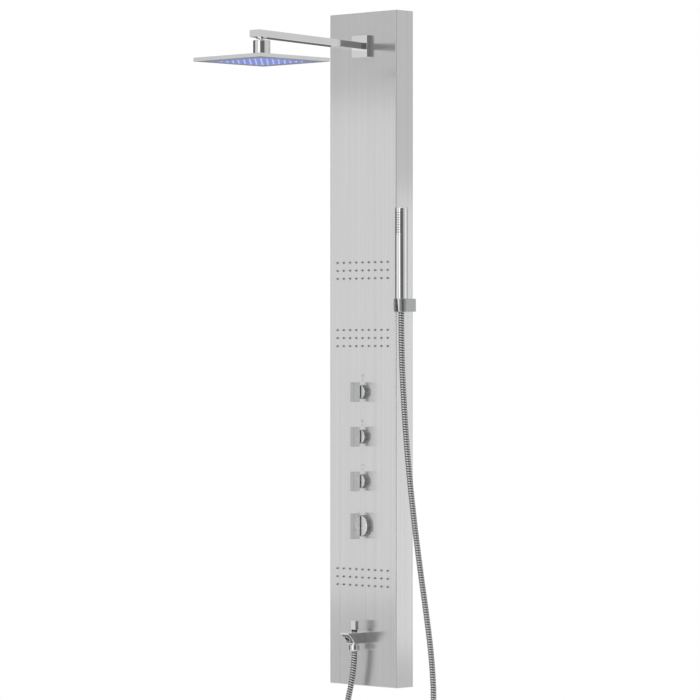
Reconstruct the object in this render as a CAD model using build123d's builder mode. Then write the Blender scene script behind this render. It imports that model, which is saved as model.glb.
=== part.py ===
"""Rainfall shower column: a folded stainless panel with a square rain head on an arm, three fields of
body jets, three stop valves over a mixer, a bath spout with a diverter and a stick handset on a hose.
Millimetres. X to the right, Y into the wall, Z up. The origin lies on the wall, at the middle of the
four wall screws. Distances called "out" are measured from the wall towards the user."""

import os
from math import atan2, cos, degrees, radians, sin, sqrt, tan

from build123d import *

os.makedirs("parts", exist_ok=True)

# Panel: one folded sheet, open at the back, with a return lip along each side.
panel_width = 200.0
panel_height = 1450.0
panel_depth = 52.0
sheet = 1.5
bend_radius = 2.2
lip_width = 12.0

# Wall fixing: two Z brackets on the wall, each under a hook rail of the panel.
wall_hole_pitch_x = 120.0
wall_hole_inset = 145.0
wall_hole_diameter = 7.0
bracket_plate_width = 150.0
bracket_plate_drop = 22.0
bracket_plate_rise = 15.0
bracket_sheet = 2.0
hook_reach = 8.0
hook_height = 12.0
hook_clearance = 0.3

# Rain arm: flat tube with a threaded stub, square flange and the neck of the head.
arm_drop = 73.5
arm_rise = 10.0
arm_width = 30.0
arm_height = 15.0
arm_wall = 2.0
arm_reach = 301.0
arm_overhang = 21.0
arm_corner = 1.0
flange_side = 47.5
flange_depth = 11.0
flange_wall = 2.5
flange_edge = 0.8
slide_clearance = 0.1

# Threaded stubs of arm and spout, with their washers, back nuts and elbows.
stub_radius = 10.0
stub_bore = 6.5
stub_end_out = 24.5
stub_hole_clearance = 0.5
washer_radius = 17.0
washer_thickness = 2.0
back_nut_flats = 28.0
back_nut_height = 8.0
thread_clearance = 0.05
elbow_radius = 13.0
elbow_gap = 3.5
elbow_back_out = 9.0
elbow_stop_out = 24.0
elbow_bore = 4.5

# Ball joint of the rain head.
ball_drop = 17.0
ball_radius = 11.0
ball_stem_radius = 5.0
ball_bore = 3.0
neck_radius = 11.5
neck_height = 1.5
neck_seat = 0.4
spigot_radius = 6.0
seat_thickness = 1.95
seat_clearance = 0.05
seat_low_angle = 52.0
seat_gap_angle = 21.0
swivel_nut_radius = 18.0
swivel_nut_rise = 12.0
swivel_nut_drop = 22.3
swivel_nut_chamfer = 1.2
swivel_nut_mouth = 9.0
boss_radius = 15.5
boss_top_drop = 0.5

# Rain head: thin square tray, border frame, lit nozzle plate, light board and turbine.
head_side = 203.0
head_thickness = 8.0
head_top_drop = 24.5
head_wall = 2.0
head_edge = 0.8
frame_thickness = 2.5
frame_clearance = 0.1
border_width = 26.5
head_nozzle_count = 8
plate_margin = 15.5
head_nozzle_radius = 2.4
head_nozzle_length = 1.6
board_margin = 5.0
board_thickness = 1.4
board_hole = 64.0
chamber_radius = 12.0
chamber_roof = 1.6
turbine_wall = 1.2
turbine_floor = 0.8
turbine_gap = 0.3
impeller_radius = 9.6
impeller_hub = 3.2
impeller_height = 4.6
blade_count = 6
blade_thickness = 1.0
axle_radius = 1.2
axle_clearance = 0.05

# Body jets: three fields of soft nozzles pushed through the panel from water boxes behind it.
jet_columns = 9
jet_rows = 3
jet_side_margin = 24.0
jet_pitch_z = 17.3
jet_rise = (894.4, 748.8, 233.0)
jet_hole_radius = 3.0
jet_nozzle_radius = 2.8
jet_nozzle_reach = 1.8
jet_taper = 12.0
jet_mat_thickness = 2.0
jet_margin = 11.0
jet_box_depth = 18.0
jet_box_wall = 2.0
ear_length = 10.0
ear_height = 22.0
ear_thickness = 4.0
stud_radius = 2.5
stud_length = 12.0
stud_clearance = 0.2
stud_nut_flats = 8.0
stud_nut_height = 4.0

# Water tubes, all in one plane behind the boxes, and the sockets they push into.
tube_out = 20.0
tube_radius = 6.0
tube_bore = 4.5
tube_side = 60.0
tube_bend = 26.0
socket_radius = 9.0
socket_length = 12.0
socket_depth = 10.0
socket_clearance = 0.05
socket_gap = 0.3
tee_half = 10.0

# Valve body: one brass bar with three stop seats and the mixer seat.
stop_rise = 632.4
knob_pitch = 96.0
body_half_width = 17.0
body_back_out = 11.0
body_end = 28.0
mixer_half_width = 36.0
mixer_half_height = 38.0
snout_proud = 5.0
stop_snout_radius = 12.0
mixer_snout_radius = 19.0
stop_seat_radius = 9.0
mixer_seat_radius = 16.0
seat_bottom_out = 28.0
gallery_radius = 3.0
gallery_x = 11.0
port_bore = 4.0
snout_clearance = 0.4
mixer_back_out = 24.0
inlet_pitch = 50.0
inlet_radius = 10.48
inlet_bore = 6.5
inlet_length = 14.0
inlet_depth = 14.0
cross_bore_setback = 5.0

# Cartridges, lock nuts, rosettes and blade handles.
cartridge_clearance = 0.05
cartridge_flange = 2.5
cartridge_rim = 1.0
stem_radius = 3.5
stem_clearance = 0.05
stem_depth = 16.0
lock_nut_height = 4.0
lock_nut_wall = 1.9
stop_rosette_radius = 15.0
mixer_rosette_radius = 23.0
rosette_depth = 10.0
rosette_wall = 0.8
rosette_face = 2.2
rosette_edge = 0.6
stem_hole_clearance = 1.0
handle_gap = 2.5
handle_width = 9.0
stop_handle_height = 42.0
mixer_handle_height = 55.0
handle_depth = 21.0
handle_edge = 0.9

# Bath spout with its diverter and the hose outlet under it.
spout_rise = 104.0
spout_width = 25.0
spout_height = 24.0
spout_top_length = 57.0
spout_bottom_length = 37.0
spout_lip = 3.0
spout_edge = 1.2
spout_channel = 6.0
aerator_radius = 8.0
aerator_depth = 4.0
aerator_clearance = 0.1
diverter_reach = 25.0
chamber_bore = 7.5
chamber_floor = 3.0
bush_height = 3.0
bush_clearance = 0.05
diverter_stem = 3.5
diverter_clearance = 0.05
gate_radius = 6.6
gate_height = 4.0
diverter_neck = 5.5
diverter_lift = 8.0
diverter_width = 14.5
diverter_depth = 10.0
diverter_height = 19.5
diverter_edge = 0.6
nipple_radius = 8.0
nipple_length = 10.0
nipple_bore = 4.0
hose_nut_radius = 11.5
hose_nut_top = 2.8
hose_nut_height = 13.0
hose_nut_round = 3.0

# Handset, its conical hose nut and the slotted bracket on the panel's side.
handset_rise = 832.5
handset_radius = 13.2
handset_length = 194.5
handset_wall = 2.5
handset_top_round = 2.0
handset_socket = 8.0
handset_socket_depth = 13.0
spray_turn = 24.0
spray_width = 15.0
spray_height = 52.0
spray_top = 6.0
spray_thickness = 3.0
spray_clearance = 0.1
spray_rows = 9
spray_columns = 4
spray_pitch_z = 5.2
spray_pitch_x = 3.8
spray_nozzle_radius = 0.9
spray_nozzle_reach = 0.9
cone_top_radius = 10.6
cone_bottom_radius = 8.4
cone_clearance = 0.15
holder_width = 32.0
holder_height = 27.5
holder_gap = 0.3
holder_back_y = -23.7
holder_y = -52.0
holder_slot = 15.0
holder_edge = 0.8
holder_screw_pitch = 15.0
holder_screw_y = -36.0
screw_radius = 2.0
screw_clearance = 0.1
screw_length = 12.0
screw_head_radius = 3.8
screw_head_height = 2.4

# Hose: its outside, bore, ribs and the route of its middle line from handset to spout.
hose_radius = 6.5
hose_root = 5.7
hose_bore = 4.2
hose_ribs = 60
hose_points = [
    (116.0, -52.0, 80.0),
    (116.0, -52.0, 0.0),
    (124.0, -53.0, -110.0),
    (135.0, -54.5, -215.0),
    (152.0, -56.0, -330.0),
    (174.0, -58.0, -450.0),
    (197.5, -60.0, -560.0),
    (216.5, -62.0, -660.0),
    (225.0, -64.0, -760.0),
    (205.0, -67.0, -878.0),
    (142.0, -71.0, -961.0),
    (48.0, -75.0, -968.0),
    (-20.0, -76.5, -902.0),
    (-33.0, -77.0, -798.0),
    (0.0, -77.0, -690.0),
    (0.0, -77.0, -648.8),
]

# Places that follow from the sizes above.
front = panel_depth
inner_front = panel_depth - sheet
foot = -panel_height / 2
wall_hole_pitch_z = panel_height - 2 * wall_hole_inset
arm_z = panel_height / 2 - arm_drop
arm_length = arm_reach + arm_overhang
arm_slope = arm_rise / (arm_length - flange_depth)
elbow_front_out = inner_front - washer_thickness - back_nut_height - elbow_gap
glow_side = head_side - 2 * border_width
head_nozzle_pitch = (glow_side - 2 * plate_margin) / (head_nozzle_count - 1)
board_side = glow_side - 2 * board_margin
jet_pitch_x = (panel_width - 2 * jet_side_margin) / (jet_columns - 1)
jet_z = [foot + rise for rise in jet_rise]
snout_front_out = front + snout_proud
stop_top_z = foot + stop_rise
spout_z = foot + spout_rise
handset_z = foot + handset_rise
stop_z = [stop_top_z - i * knob_pitch for i in range(3)]
mixer_z = stop_top_z - 3 * knob_pitch
head_y = -(panel_depth + arm_reach)
arm_bottom = arm_z - arm_height / 2
neck_top = arm_bottom + arm_slope * (arm_reach - neck_radius - flange_depth) - neck_seat
ball_z = neck_top - ball_drop
seat_radius = ball_radius + seat_clearance + seat_thickness
socket_ball = seat_radius + seat_clearance
head_top = ball_z - head_top_drop
head_bottom = head_top - head_thickness
jet_box_width = (jet_columns - 1) * jet_pitch_x + 2 * jet_margin
jet_box_height = (jet_rows - 1) * jet_pitch_z + 2 * jet_margin
jet_box_front = inner_front - jet_mat_thickness
jet_box_back = jet_box_front - jet_box_depth
stud_x = jet_box_width / 2 + ear_length / 2
spout_bottom = spout_z - spout_height / 2
spout_top = spout_z + spout_height / 2
diverter_y = -(panel_depth + diverter_reach)
holder_x = panel_width / 2 + holder_width / 2
holder_top = handset_z - holder_gap
holder_bottom = holder_top - holder_height

# The folded panel, with its holes and the welded studs of the water boxes.
with BuildPart() as panel_shell:
    with BuildSketch(Plane.XZ):
        Rectangle(panel_width, panel_height)
    extrude(amount=panel_depth)
    fillet(panel_shell.faces().sort_by(Axis.Y)[0].edges(), bend_radius)
    offset(amount=-sheet, openings=panel_shell.faces().sort_by(Axis.Y)[-1])
    with BuildSketch(Plane.XZ):
        with GridLocations(panel_width - lip_width, 0, 2, 1):
            Rectangle(lip_width, panel_height)
    extrude(amount=sheet)
    with BuildSketch(Plane.XZ.offset(front)):
        for z in jet_z:
            with Locations((0, z)):
                with GridLocations(jet_pitch_x, jet_pitch_z, jet_columns, jet_rows):
                    RegularPolygon(jet_hole_radius, 6)
        with Locations((0, arm_z), (0, spout_z)):
            Circle(stub_radius + stub_hole_clearance)
        with Locations(*[(0, z) for z in stop_z]):
            Circle(stop_snout_radius + snout_clearance)
        with Locations((0, mixer_z)):
            Circle(mixer_snout_radius + snout_clearance)
    extrude(amount=-2 * sheet, mode=Mode.SUBTRACT)
    with BuildSketch(Plane.YZ.offset(panel_width / 2)):
        with Locations((holder_screw_y, holder_bottom + holder_height / 2)):
            with GridLocations(0, holder_screw_pitch, 1, 2):
                Circle(screw_radius + screw_clearance)
    extrude(amount=-2 * sheet, mode=Mode.SUBTRACT)
    with BuildSketch(Plane.XZ.offset(inner_front)):
        for z in jet_z:
            with Locations((0, z)):
                with GridLocations(2 * stud_x, 0, 2, 1):
                    Circle(stud_radius)
    extrude(amount=-stud_length)
panel_shell.part.label = "panel_shell"
export_step(panel_shell.part, "parts/panel_shell.step")

# Hook rails: inverted channels welded between the side walls, over the lips of the wall brackets.
lip_back = hook_reach
lip_front = lip_back + bracket_sheet
rail_inside = panel_width - 2 * sheet
with BuildPart() as hook_rails:
    for z in (-wall_hole_pitch_z / 2, wall_hole_pitch_z / 2):
        shelf = z + bracket_plate_rise
        with BuildSketch(Plane.YZ.offset(-rail_inside / 2)):
            with BuildLine():
                Polyline(
                    (-lip_back + hook_clearance + bracket_sheet, shelf + hook_clearance),
                    (-lip_back + hook_clearance, shelf + hook_clearance),
                    (-lip_back + hook_clearance, shelf + hook_height + hook_clearance),
                    (-lip_front - hook_clearance, shelf + hook_height + hook_clearance),
                    (-lip_front - hook_clearance, shelf - hook_height),
                    (-lip_front - hook_clearance - bracket_sheet, shelf - hook_height),
                    (-lip_front - hook_clearance - bracket_sheet,
                     shelf + hook_height + hook_clearance + bracket_sheet),
                    (-lip_back + hook_clearance + bracket_sheet,
                     shelf + hook_height + hook_clearance + bracket_sheet),
                    close=True,
                )
            make_face()
        extrude(amount=rail_inside)
hook_rails.part.label = "hook_rails"
export_step(hook_rails.part, "parts/hook_rails.step")

# Wall brackets: Z sections with two screw holes each.
with BuildPart() as wall_brackets:
    for z in (-wall_hole_pitch_z / 2, wall_hole_pitch_z / 2):
        shelf = z + bracket_plate_rise
        with BuildSketch(Plane.YZ.offset(-bracket_plate_width / 2)):
            with BuildLine():
                Polyline(
                    (0, z - bracket_plate_drop),
                    (-bracket_sheet, z - bracket_plate_drop),
                    (-bracket_sheet, shelf - bracket_sheet),
                    (-lip_front, shelf - bracket_sheet),
                    (-lip_front, shelf + hook_height),
                    (-lip_back, shelf + hook_height),
                    (-lip_back, shelf),
                    (0, shelf),
                    close=True,
                )
            make_face()
        extrude(amount=bracket_plate_width)
        with BuildSketch(Plane.XZ):
            with Locations((0, z)):
                with GridLocations(wall_hole_pitch_x, 0, 2, 1):
                    Circle(wall_hole_diameter / 2)
        extrude(amount=bracket_sheet, mode=Mode.SUBTRACT)
wall_brackets.part.label = "wall_brackets"
export_step(wall_brackets.part, "parts/wall_brackets.step")

# Rain arm: a flat tube closed at both ends, level through its flange and then rising, with a round seat for
# the neck and its threaded stub through the panel.
rise_way = Vector(0, -1, arm_slope)
with BuildPart() as shower_arm:
    with BuildSketch(Plane.XZ.offset(front)):
        with Locations((0, arm_z)):
            RectangleRounded(arm_width, arm_height, arm_corner)
    extrude(amount=flange_depth)
    with BuildSketch(Plane.XZ.offset(front + flange_depth)):
        with Locations((0, arm_z)):
            RectangleRounded(arm_width, arm_height, arm_corner)
    extrude(amount=(arm_length - flange_depth) * rise_way.length, dir=rise_way)
    with BuildSketch(Plane.XY.offset(neck_top)):
        with Locations((0, head_y)):
            Circle(neck_radius)
    extrude(amount=arm_height / 2)
    with BuildSketch(Plane.XZ.offset(front + 2 * arm_wall)):
        with Locations((0, arm_z)):
            Rectangle(arm_width - 2 * arm_wall, arm_height - 2 * arm_wall)
    extrude(amount=flange_depth - 2 * arm_wall, mode=Mode.SUBTRACT)
    with BuildSketch(Plane.XZ.offset(front + flange_depth)):
        with Locations((0, arm_z)):
            Rectangle(arm_width - 2 * arm_wall, arm_height - 2 * arm_wall)
    extrude(
        amount=(arm_length - flange_depth - arm_wall) * rise_way.length,
        dir=rise_way,
        mode=Mode.SUBTRACT,
    )
    with BuildSketch(Plane.XZ.offset(stub_end_out)):
        with Locations((0, arm_z)):
            Circle(stub_radius)
    extrude(amount=front - stub_end_out)
    with BuildSketch(Plane.XZ.offset(stub_end_out)):
        with Locations((0, arm_z)):
            Circle(min(stub_bore, arm_height / 2 - arm_wall))
    extrude(amount=front + 2 * arm_wall - stub_end_out, mode=Mode.SUBTRACT)
    with BuildSketch(Plane.XY.offset(neck_top)):
        with Locations((0, head_y)):
            Circle(spigot_radius + thread_clearance)
    extrude(amount=arm_height / 2, mode=Mode.SUBTRACT)
shower_arm.part.label = "shower_arm"
export_step(shower_arm.part, "parts/shower_arm.step")

# Square flange that slides over the arm against the panel.
with BuildPart() as arm_flange:
    with BuildSketch(Plane.XZ.offset(front)):
        with Locations((0, arm_z)):
            Rectangle(flange_side, flange_side)
    extrude(amount=flange_depth)
    chamfer(arm_flange.faces().sort_by(Axis.Y)[0].edges(), flange_edge)
    with BuildSketch(Plane.XZ.offset(front)):
        with Locations((0, arm_z)):
            Rectangle(flange_side - 2 * flange_wall, flange_side - 2 * flange_wall)
    extrude(amount=flange_depth - flange_wall, mode=Mode.SUBTRACT)
    with BuildSketch(Plane.XZ.offset(front)):
        with Locations((0, arm_z)):
            Rectangle(arm_width + 2 * slide_clearance, arm_height + 2 * slide_clearance)
    extrude(amount=flange_depth, mode=Mode.SUBTRACT)
arm_flange.part.label = "arm_flange"
export_step(arm_flange.part, "parts/arm_flange.step")

# Sealing washers and hexagon nuts behind the panel, on the stubs of arm and spout.
with BuildPart() as back_washers:
    with BuildSketch(Plane.XZ.offset(inner_front)):
        with Locations((0, arm_z), (0, spout_z)):
            Circle(washer_radius)
            Circle(stub_radius + thread_clearance, mode=Mode.SUBTRACT)
    extrude(amount=-washer_thickness)
back_washers.part.label = "back_washers"
export_step(back_washers.part, "parts/back_washers.step")

with BuildPart() as back_nuts:
    with BuildSketch(Plane.XZ.offset(inner_front - washer_thickness)):
        with Locations((0, arm_z), (0, spout_z)):
            RegularPolygon(back_nut_flats / 2, 6, major_radius=False)
            Circle(stub_radius + thread_clearance, mode=Mode.SUBTRACT)
    extrude(amount=-back_nut_height)
back_nuts.part.label = "back_nuts"
export_step(back_nuts.part, "parts/back_nuts.step")

# Brass elbows: a cup over the stub, and a tube socket square to it.
with BuildPart() as arm_elbow:
    with BuildSketch(Plane.XZ.offset(elbow_back_out)):
        with Locations((0, arm_z)):
            Circle(elbow_radius)
    extrude(amount=elbow_front_out - elbow_back_out)
    with BuildSketch(Plane.XY.offset(arm_z)):
        with Locations((0, -tube_out)):
            Circle(socket_radius)
    extrude(amount=-(elbow_radius + socket_length))
    with BuildSketch(Plane.XZ.offset(elbow_stop_out)):
        with Locations((0, arm_z)):
            Circle(stub_radius + thread_clearance)
    extrude(amount=elbow_front_out - elbow_stop_out, mode=Mode.SUBTRACT)
    with BuildSketch(Plane.XZ.offset(tube_out)):
        with Locations((0, arm_z)):
            Circle(elbow_bore)
    extrude(amount=elbow_stop_out - tube_out, mode=Mode.SUBTRACT)
    with BuildSketch(Plane.XY.offset(arm_z)):
        with Locations((0, -tube_out)):
            Circle(elbow_bore)
    extrude(amount=-(elbow_radius + socket_length), mode=Mode.SUBTRACT)
    with BuildSketch(Plane.XY.offset(arm_z - elbow_radius - socket_length)):
        with Locations((0, -tube_out)):
            Circle(tube_radius + socket_clearance)
    extrude(amount=socket_depth, mode=Mode.SUBTRACT)
arm_elbow.part.label = "arm_elbow"
export_step(arm_elbow.part, "parts/arm_elbow.step")

with BuildPart() as spout_elbow:
    with BuildSketch(Plane.XZ.offset(elbow_back_out)):
        with Locations((0, spout_z)):
            Circle(elbow_radius)
    extrude(amount=elbow_front_out - elbow_back_out)
    with BuildSketch(Plane.YZ):
        with Locations((-tube_out, spout_z)):
            Circle(socket_radius)
    extrude(amount=-(elbow_radius + socket_length))
    with BuildSketch(Plane.XZ.offset(elbow_stop_out)):
        with Locations((0, spout_z)):
            Circle(stub_radius + thread_clearance)
    extrude(amount=elbow_front_out - elbow_stop_out, mode=Mode.SUBTRACT)
    with BuildSketch(Plane.XZ.offset(tube_out)):
        with Locations((0, spout_z)):
            Circle(elbow_bore)
    extrude(amount=elbow_stop_out - tube_out, mode=Mode.SUBTRACT)
    with BuildSketch(Plane.YZ):
        with Locations((-tube_out, spout_z)):
            Circle(elbow_bore)
    extrude(amount=-(elbow_radius + socket_length), mode=Mode.SUBTRACT)
    with BuildSketch(Plane.YZ.offset(-(elbow_radius + socket_length))):
        with Locations((-tube_out, spout_z)):
            Circle(tube_radius + socket_clearance)
    extrude(amount=socket_depth, mode=Mode.SUBTRACT)
spout_elbow.part.label = "spout_elbow"
export_step(spout_elbow.part, "parts/spout_elbow.step")

# Ball of the swivel joint, with its stem, neck and the spigot into the arm.
head_axis = Axis((0, head_y, 0), (0, 0, 1))
head_section = Plane.XZ.offset(-head_y)
stem_meets = sqrt(ball_radius**2 - ball_stem_radius**2)
bore_meets = sqrt(ball_radius**2 - ball_bore**2)
ball_start = degrees(atan2(stem_meets, ball_stem_radius))
ball_end = degrees(atan2(bore_meets, ball_bore))
with BuildPart() as swivel_ball:
    with BuildSketch(head_section):
        with BuildLine():
            CenterArc((0, ball_z), ball_radius, ball_start, -(ball_start + ball_end))
            Polyline(
                (ball_bore, ball_z - bore_meets),
                (ball_bore, neck_top + arm_wall),
                (spigot_radius, neck_top + arm_wall),
                (spigot_radius, neck_top),
                (neck_radius, neck_top),
                (neck_radius, neck_top - neck_height),
                (ball_stem_radius, neck_top - neck_height),
                (ball_stem_radius, ball_z + stem_meets),
            )
        make_face()
    revolve(axis=head_axis)
swivel_ball.part.label = "swivel_ball"
export_step(swivel_ball.part, "parts/swivel_ball.step")

# Upper and lower seat rings: two zones of one hollow sphere round the ball.
for ring_name, low, high in (
    ("ball_retainer", seat_gap_angle, seat_low_angle),
    ("ball_seat", -seat_low_angle, -seat_gap_angle),
):
    with BuildPart() as seat_ring:
        with BuildSketch(head_section):
            with BuildLine():
                outer = CenterArc((0, ball_z), seat_radius, low, high - low)
                inner = CenterArc((0, ball_z), ball_radius + seat_clearance, low, high - low)
                Line(outer @ 0, inner @ 0)
                Line(outer @ 1, inner @ 1)
            make_face()
        revolve(axis=head_axis)
    seat_ring.part.label = ring_name
    export_step(seat_ring.part, f"parts/{ring_name}.step")

# Swivel nut: a domed cap that holds the ball in the boss of the head.
mouth_rise = sqrt(socket_ball**2 - swivel_nut_mouth**2)
nut_top = ball_z + swivel_nut_rise
nut_bottom = ball_z - swivel_nut_drop
nut_bore = boss_radius + thread_clearance
with BuildPart() as swivel_nut:
    with BuildSketch(head_section):
        with BuildLine():
            Polyline(
                (swivel_nut_mouth, ball_z + mouth_rise),
                (swivel_nut_mouth, nut_top),
                (swivel_nut_radius - swivel_nut_chamfer, nut_top),
                (swivel_nut_radius, nut_top - swivel_nut_chamfer),
                (swivel_nut_radius, nut_bottom),
                (nut_bore, nut_bottom),
                (nut_bore, ball_z),
                (socket_ball, ball_z),
            )
            RadiusArc(
                (socket_ball, ball_z),
                (swivel_nut_mouth, ball_z + mouth_rise),
                -socket_ball,
            )
        make_face()
    revolve(axis=head_axis)
swivel_nut.part.label = "swivel_nut"
export_step(swivel_nut.part, "parts/swivel_nut.step")

# Head shell: a thin square tray, with the boss that holds the lower seat and the turbine chamber.
boss_top = ball_z - boss_top_drop
pocket_low = ball_z - socket_ball * sin(radians(seat_low_angle + 4))
pocket_mouth = socket_ball * cos(radians(seat_low_angle + 4))
chamber_top = pocket_low - chamber_roof
frame_top = head_bottom + frame_thickness
with BuildPart() as head_shell:
    with BuildSketch(Plane.XY.offset(head_bottom)):
        with Locations((0, head_y)):
            Rectangle(head_side, head_side)
    extrude(amount=head_thickness)
    chamfer(head_shell.faces().sort_by(Axis.Z)[-1].edges(), head_edge)
    with BuildSketch(Plane.XY.offset(head_bottom)):
        with Locations((0, head_y)):
            Rectangle(head_side - 2 * head_wall, head_side - 2 * head_wall)
    extrude(amount=head_thickness - head_wall, mode=Mode.SUBTRACT)
    with BuildSketch(Plane.XY.offset(head_top - head_wall)):
        with Locations((0, head_y)):
            Circle(boss_radius)
    extrude(amount=boss_top - head_top + head_wall)
    with BuildSketch(Plane.XY.offset(head_bottom)):
        with Locations((0, head_y)):
            Circle(chamber_radius)
    extrude(amount=chamber_top - head_bottom, mode=Mode.SUBTRACT)
    with BuildSketch(Plane.XY.offset(head_bottom)):
        with Locations((0, head_y)):
            Circle(pocket_mouth)
    extrude(amount=pocket_low - head_bottom, mode=Mode.SUBTRACT)
    with Locations((0, head_y, ball_z)):
        Sphere(socket_ball, -seat_low_angle - 4, 90, mode=Mode.SUBTRACT)
head_shell.part.label = "head_shell"
export_step(head_shell.part, "parts/head_shell.step")

# Border frame under the shell, round the lit plate.
frame_side = head_side - 2 * head_wall - 2 * frame_clearance
with BuildPart() as head_frame:
    with BuildSketch(Plane.XY.offset(head_bottom)):
        with Locations((0, head_y)):
            Rectangle(frame_side, frame_side)
            Rectangle(glow_side, glow_side, mode=Mode.SUBTRACT)
    extrude(amount=frame_thickness)
head_frame.part.label = "head_frame"
export_step(head_frame.part, "parts/head_frame.step")

# Lit plate with its moulded nozzles.
plate_side = glow_side - 2 * frame_clearance
with BuildPart() as nozzle_plate:
    with BuildSketch(Plane.XY.offset(head_bottom)):
        with Locations((0, head_y)):
            Rectangle(plate_side, plate_side)
    extrude(amount=frame_thickness)
    with BuildSketch(Plane.XY.offset(head_bottom)):
        with Locations((0, head_y)):
            with GridLocations(
                head_nozzle_pitch, head_nozzle_pitch, head_nozzle_count, head_nozzle_count
            ):
                RegularPolygon(head_nozzle_radius, 6)
    extrude(amount=-head_nozzle_length, taper=jet_taper)
nozzle_plate.part.label = "nozzle_plate"
export_step(nozzle_plate.part, "parts/nozzle_plate.step")

# Light board on the ceiling of the shell.
with BuildPart() as light_board:
    with BuildSketch(Plane.XY.offset(head_top - head_wall)):
        with Locations((0, head_y)):
            Rectangle(board_side, board_side)
            Rectangle(board_hole, board_hole, mode=Mode.SUBTRACT)
    extrude(amount=-board_thickness)
light_board.part.label = "light_board"
export_step(light_board.part, "parts/light_board.step")

# Turbine that feeds the light: a cup with a fixed axle, and the impeller on it.
cup_radius = chamber_radius - frame_clearance
cup_floor = frame_top + turbine_floor
with BuildPart() as turbine_housing:
    with BuildSketch(Plane.XY.offset(frame_top)):
        with Locations((0, head_y)):
            Circle(cup_radius)
    extrude(amount=chamber_top - frame_top)
    with BuildSketch(Plane.XY.offset(cup_floor)):
        with Locations((0, head_y)):
            Circle(cup_radius - turbine_wall)
    extrude(amount=chamber_top - cup_floor, mode=Mode.SUBTRACT)
    with BuildSketch(Plane.XY.offset(frame_top)):
        with Locations((0, head_y)):
            with PolarLocations((cup_radius - turbine_wall + axle_radius) / 2, 4):
                Circle(port_bore / 2)
    extrude(amount=turbine_floor, mode=Mode.SUBTRACT)
    with BuildSketch(Plane.XY.offset(frame_top)):
        with Locations((0, head_y)):
            Circle(axle_radius)
    extrude(amount=turbine_floor + 2 * turbine_gap + impeller_height)
turbine_housing.part.label = "turbine_housing"
export_step(turbine_housing.part, "parts/turbine_housing.step")

with BuildPart() as turbine_impeller:
    with BuildSketch(Plane.XY.offset(cup_floor + turbine_gap)):
        with Locations((0, head_y)):
            Circle(impeller_hub)
            with PolarLocations(impeller_radius / 2, blade_count):
                Rectangle(impeller_radius, blade_thickness)
            Circle(axle_radius + axle_clearance, mode=Mode.SUBTRACT)
    extrude(amount=impeller_height)
turbine_impeller.part.label = "turbine_impeller"
export_step(turbine_impeller.part, "parts/turbine_impeller.step")

# Body jets: for each field a soft mat with its nozzles, and the water box behind it.
tee_low = (True, True, False)
tee_high = (False, True, True)
tee_x = (-tube_side, -tube_side, tube_side)
for i, z in enumerate(jet_z):
    with BuildPart() as jet_mat:
        with BuildSketch(Plane.XZ.offset(jet_box_front)):
            with Locations((0, z)):
                Rectangle(jet_box_width, jet_box_height)
        extrude(amount=jet_mat_thickness)
        with BuildSketch(Plane.XZ.offset(inner_front)):
            with Locations((0, z)):
                with GridLocations(jet_pitch_x, jet_pitch_z, jet_columns, jet_rows):
                    RegularPolygon(jet_nozzle_radius, 6)
        extrude(amount=sheet + jet_nozzle_reach, taper=jet_taper / 2)
    jet_mat.part.label = f"jet_mat_{i + 1}"
    export_step(jet_mat.part, f"parts/jet_mat_{i + 1}.step")

    with BuildPart() as jet_box:
        with BuildSketch(Plane.XZ.offset(jet_box_back)):
            with Locations((0, z)):
                Rectangle(jet_box_width, jet_box_height)
        extrude(amount=jet_box_depth)
        with BuildSketch(Plane.XZ.offset(jet_box_back + jet_box_wall)):
            with Locations((0, z)):
                Rectangle(jet_box_width - 2 * jet_box_wall, jet_box_height - 2 * jet_box_wall)
        extrude(amount=jet_box_depth - jet_box_wall, mode=Mode.SUBTRACT)
        with BuildSketch(Plane.XZ.offset(inner_front)):
            with Locations((0, z)):
                with GridLocations(2 * stud_x, 0, 2, 1):
                    Rectangle(ear_length, ear_height)
                    Circle(stud_radius + stud_clearance, mode=Mode.SUBTRACT)
        extrude(amount=-ear_thickness)
        with BuildSketch(Plane.XZ.offset(tube_out - tee_half)):
            with Locations((tee_x[i], z)):
                Rectangle(2 * tee_half, 2 * tee_half)
        extrude(amount=jet_box_back - tube_out + tee_half)
        for wanted, side in ((tee_low[i], -1), (tee_high[i], 1)):
            if wanted:
                with BuildSketch(Plane.XY.offset(z + side * tee_half)):
                    with Locations((tee_x[i], -tube_out)):
                        Circle(socket_radius)
                extrude(amount=side * socket_length)
                with BuildSketch(Plane.XY.offset(z)):
                    with Locations((tee_x[i], -tube_out)):
                        Circle(tube_bore)
                extrude(amount=side * (tee_half + socket_length), mode=Mode.SUBTRACT)
                with BuildSketch(Plane.XY.offset(z + side * (tee_half + socket_length))):
                    with Locations((tee_x[i], -tube_out)):
                        Circle(tube_radius + socket_clearance)
                extrude(amount=-side * socket_depth, mode=Mode.SUBTRACT)
        with BuildSketch(Plane.XZ.offset(tube_out)):
            with Locations((tee_x[i], z)):
                Circle(tube_bore)
        extrude(amount=jet_box_back + jet_box_wall - tube_out, mode=Mode.SUBTRACT)
    jet_box.part.label = f"jet_box_{i + 1}"
    export_step(jet_box.part, f"parts/jet_box_{i + 1}.step")

with BuildPart() as box_nuts:
    with BuildSketch(Plane.XZ.offset(inner_front - ear_thickness)):
        for z in jet_z:
            with Locations((0, z)):
                with GridLocations(2 * stud_x, 0, 2, 1):
                    RegularPolygon(stud_nut_flats / 2, 6, major_radius=False)
                    Circle(stud_radius + thread_clearance, mode=Mode.SUBTRACT)
    extrude(amount=-stud_nut_height)
box_nuts.part.label = "box_nuts"
export_step(box_nuts.part, "parts/box_nuts.step")

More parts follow.
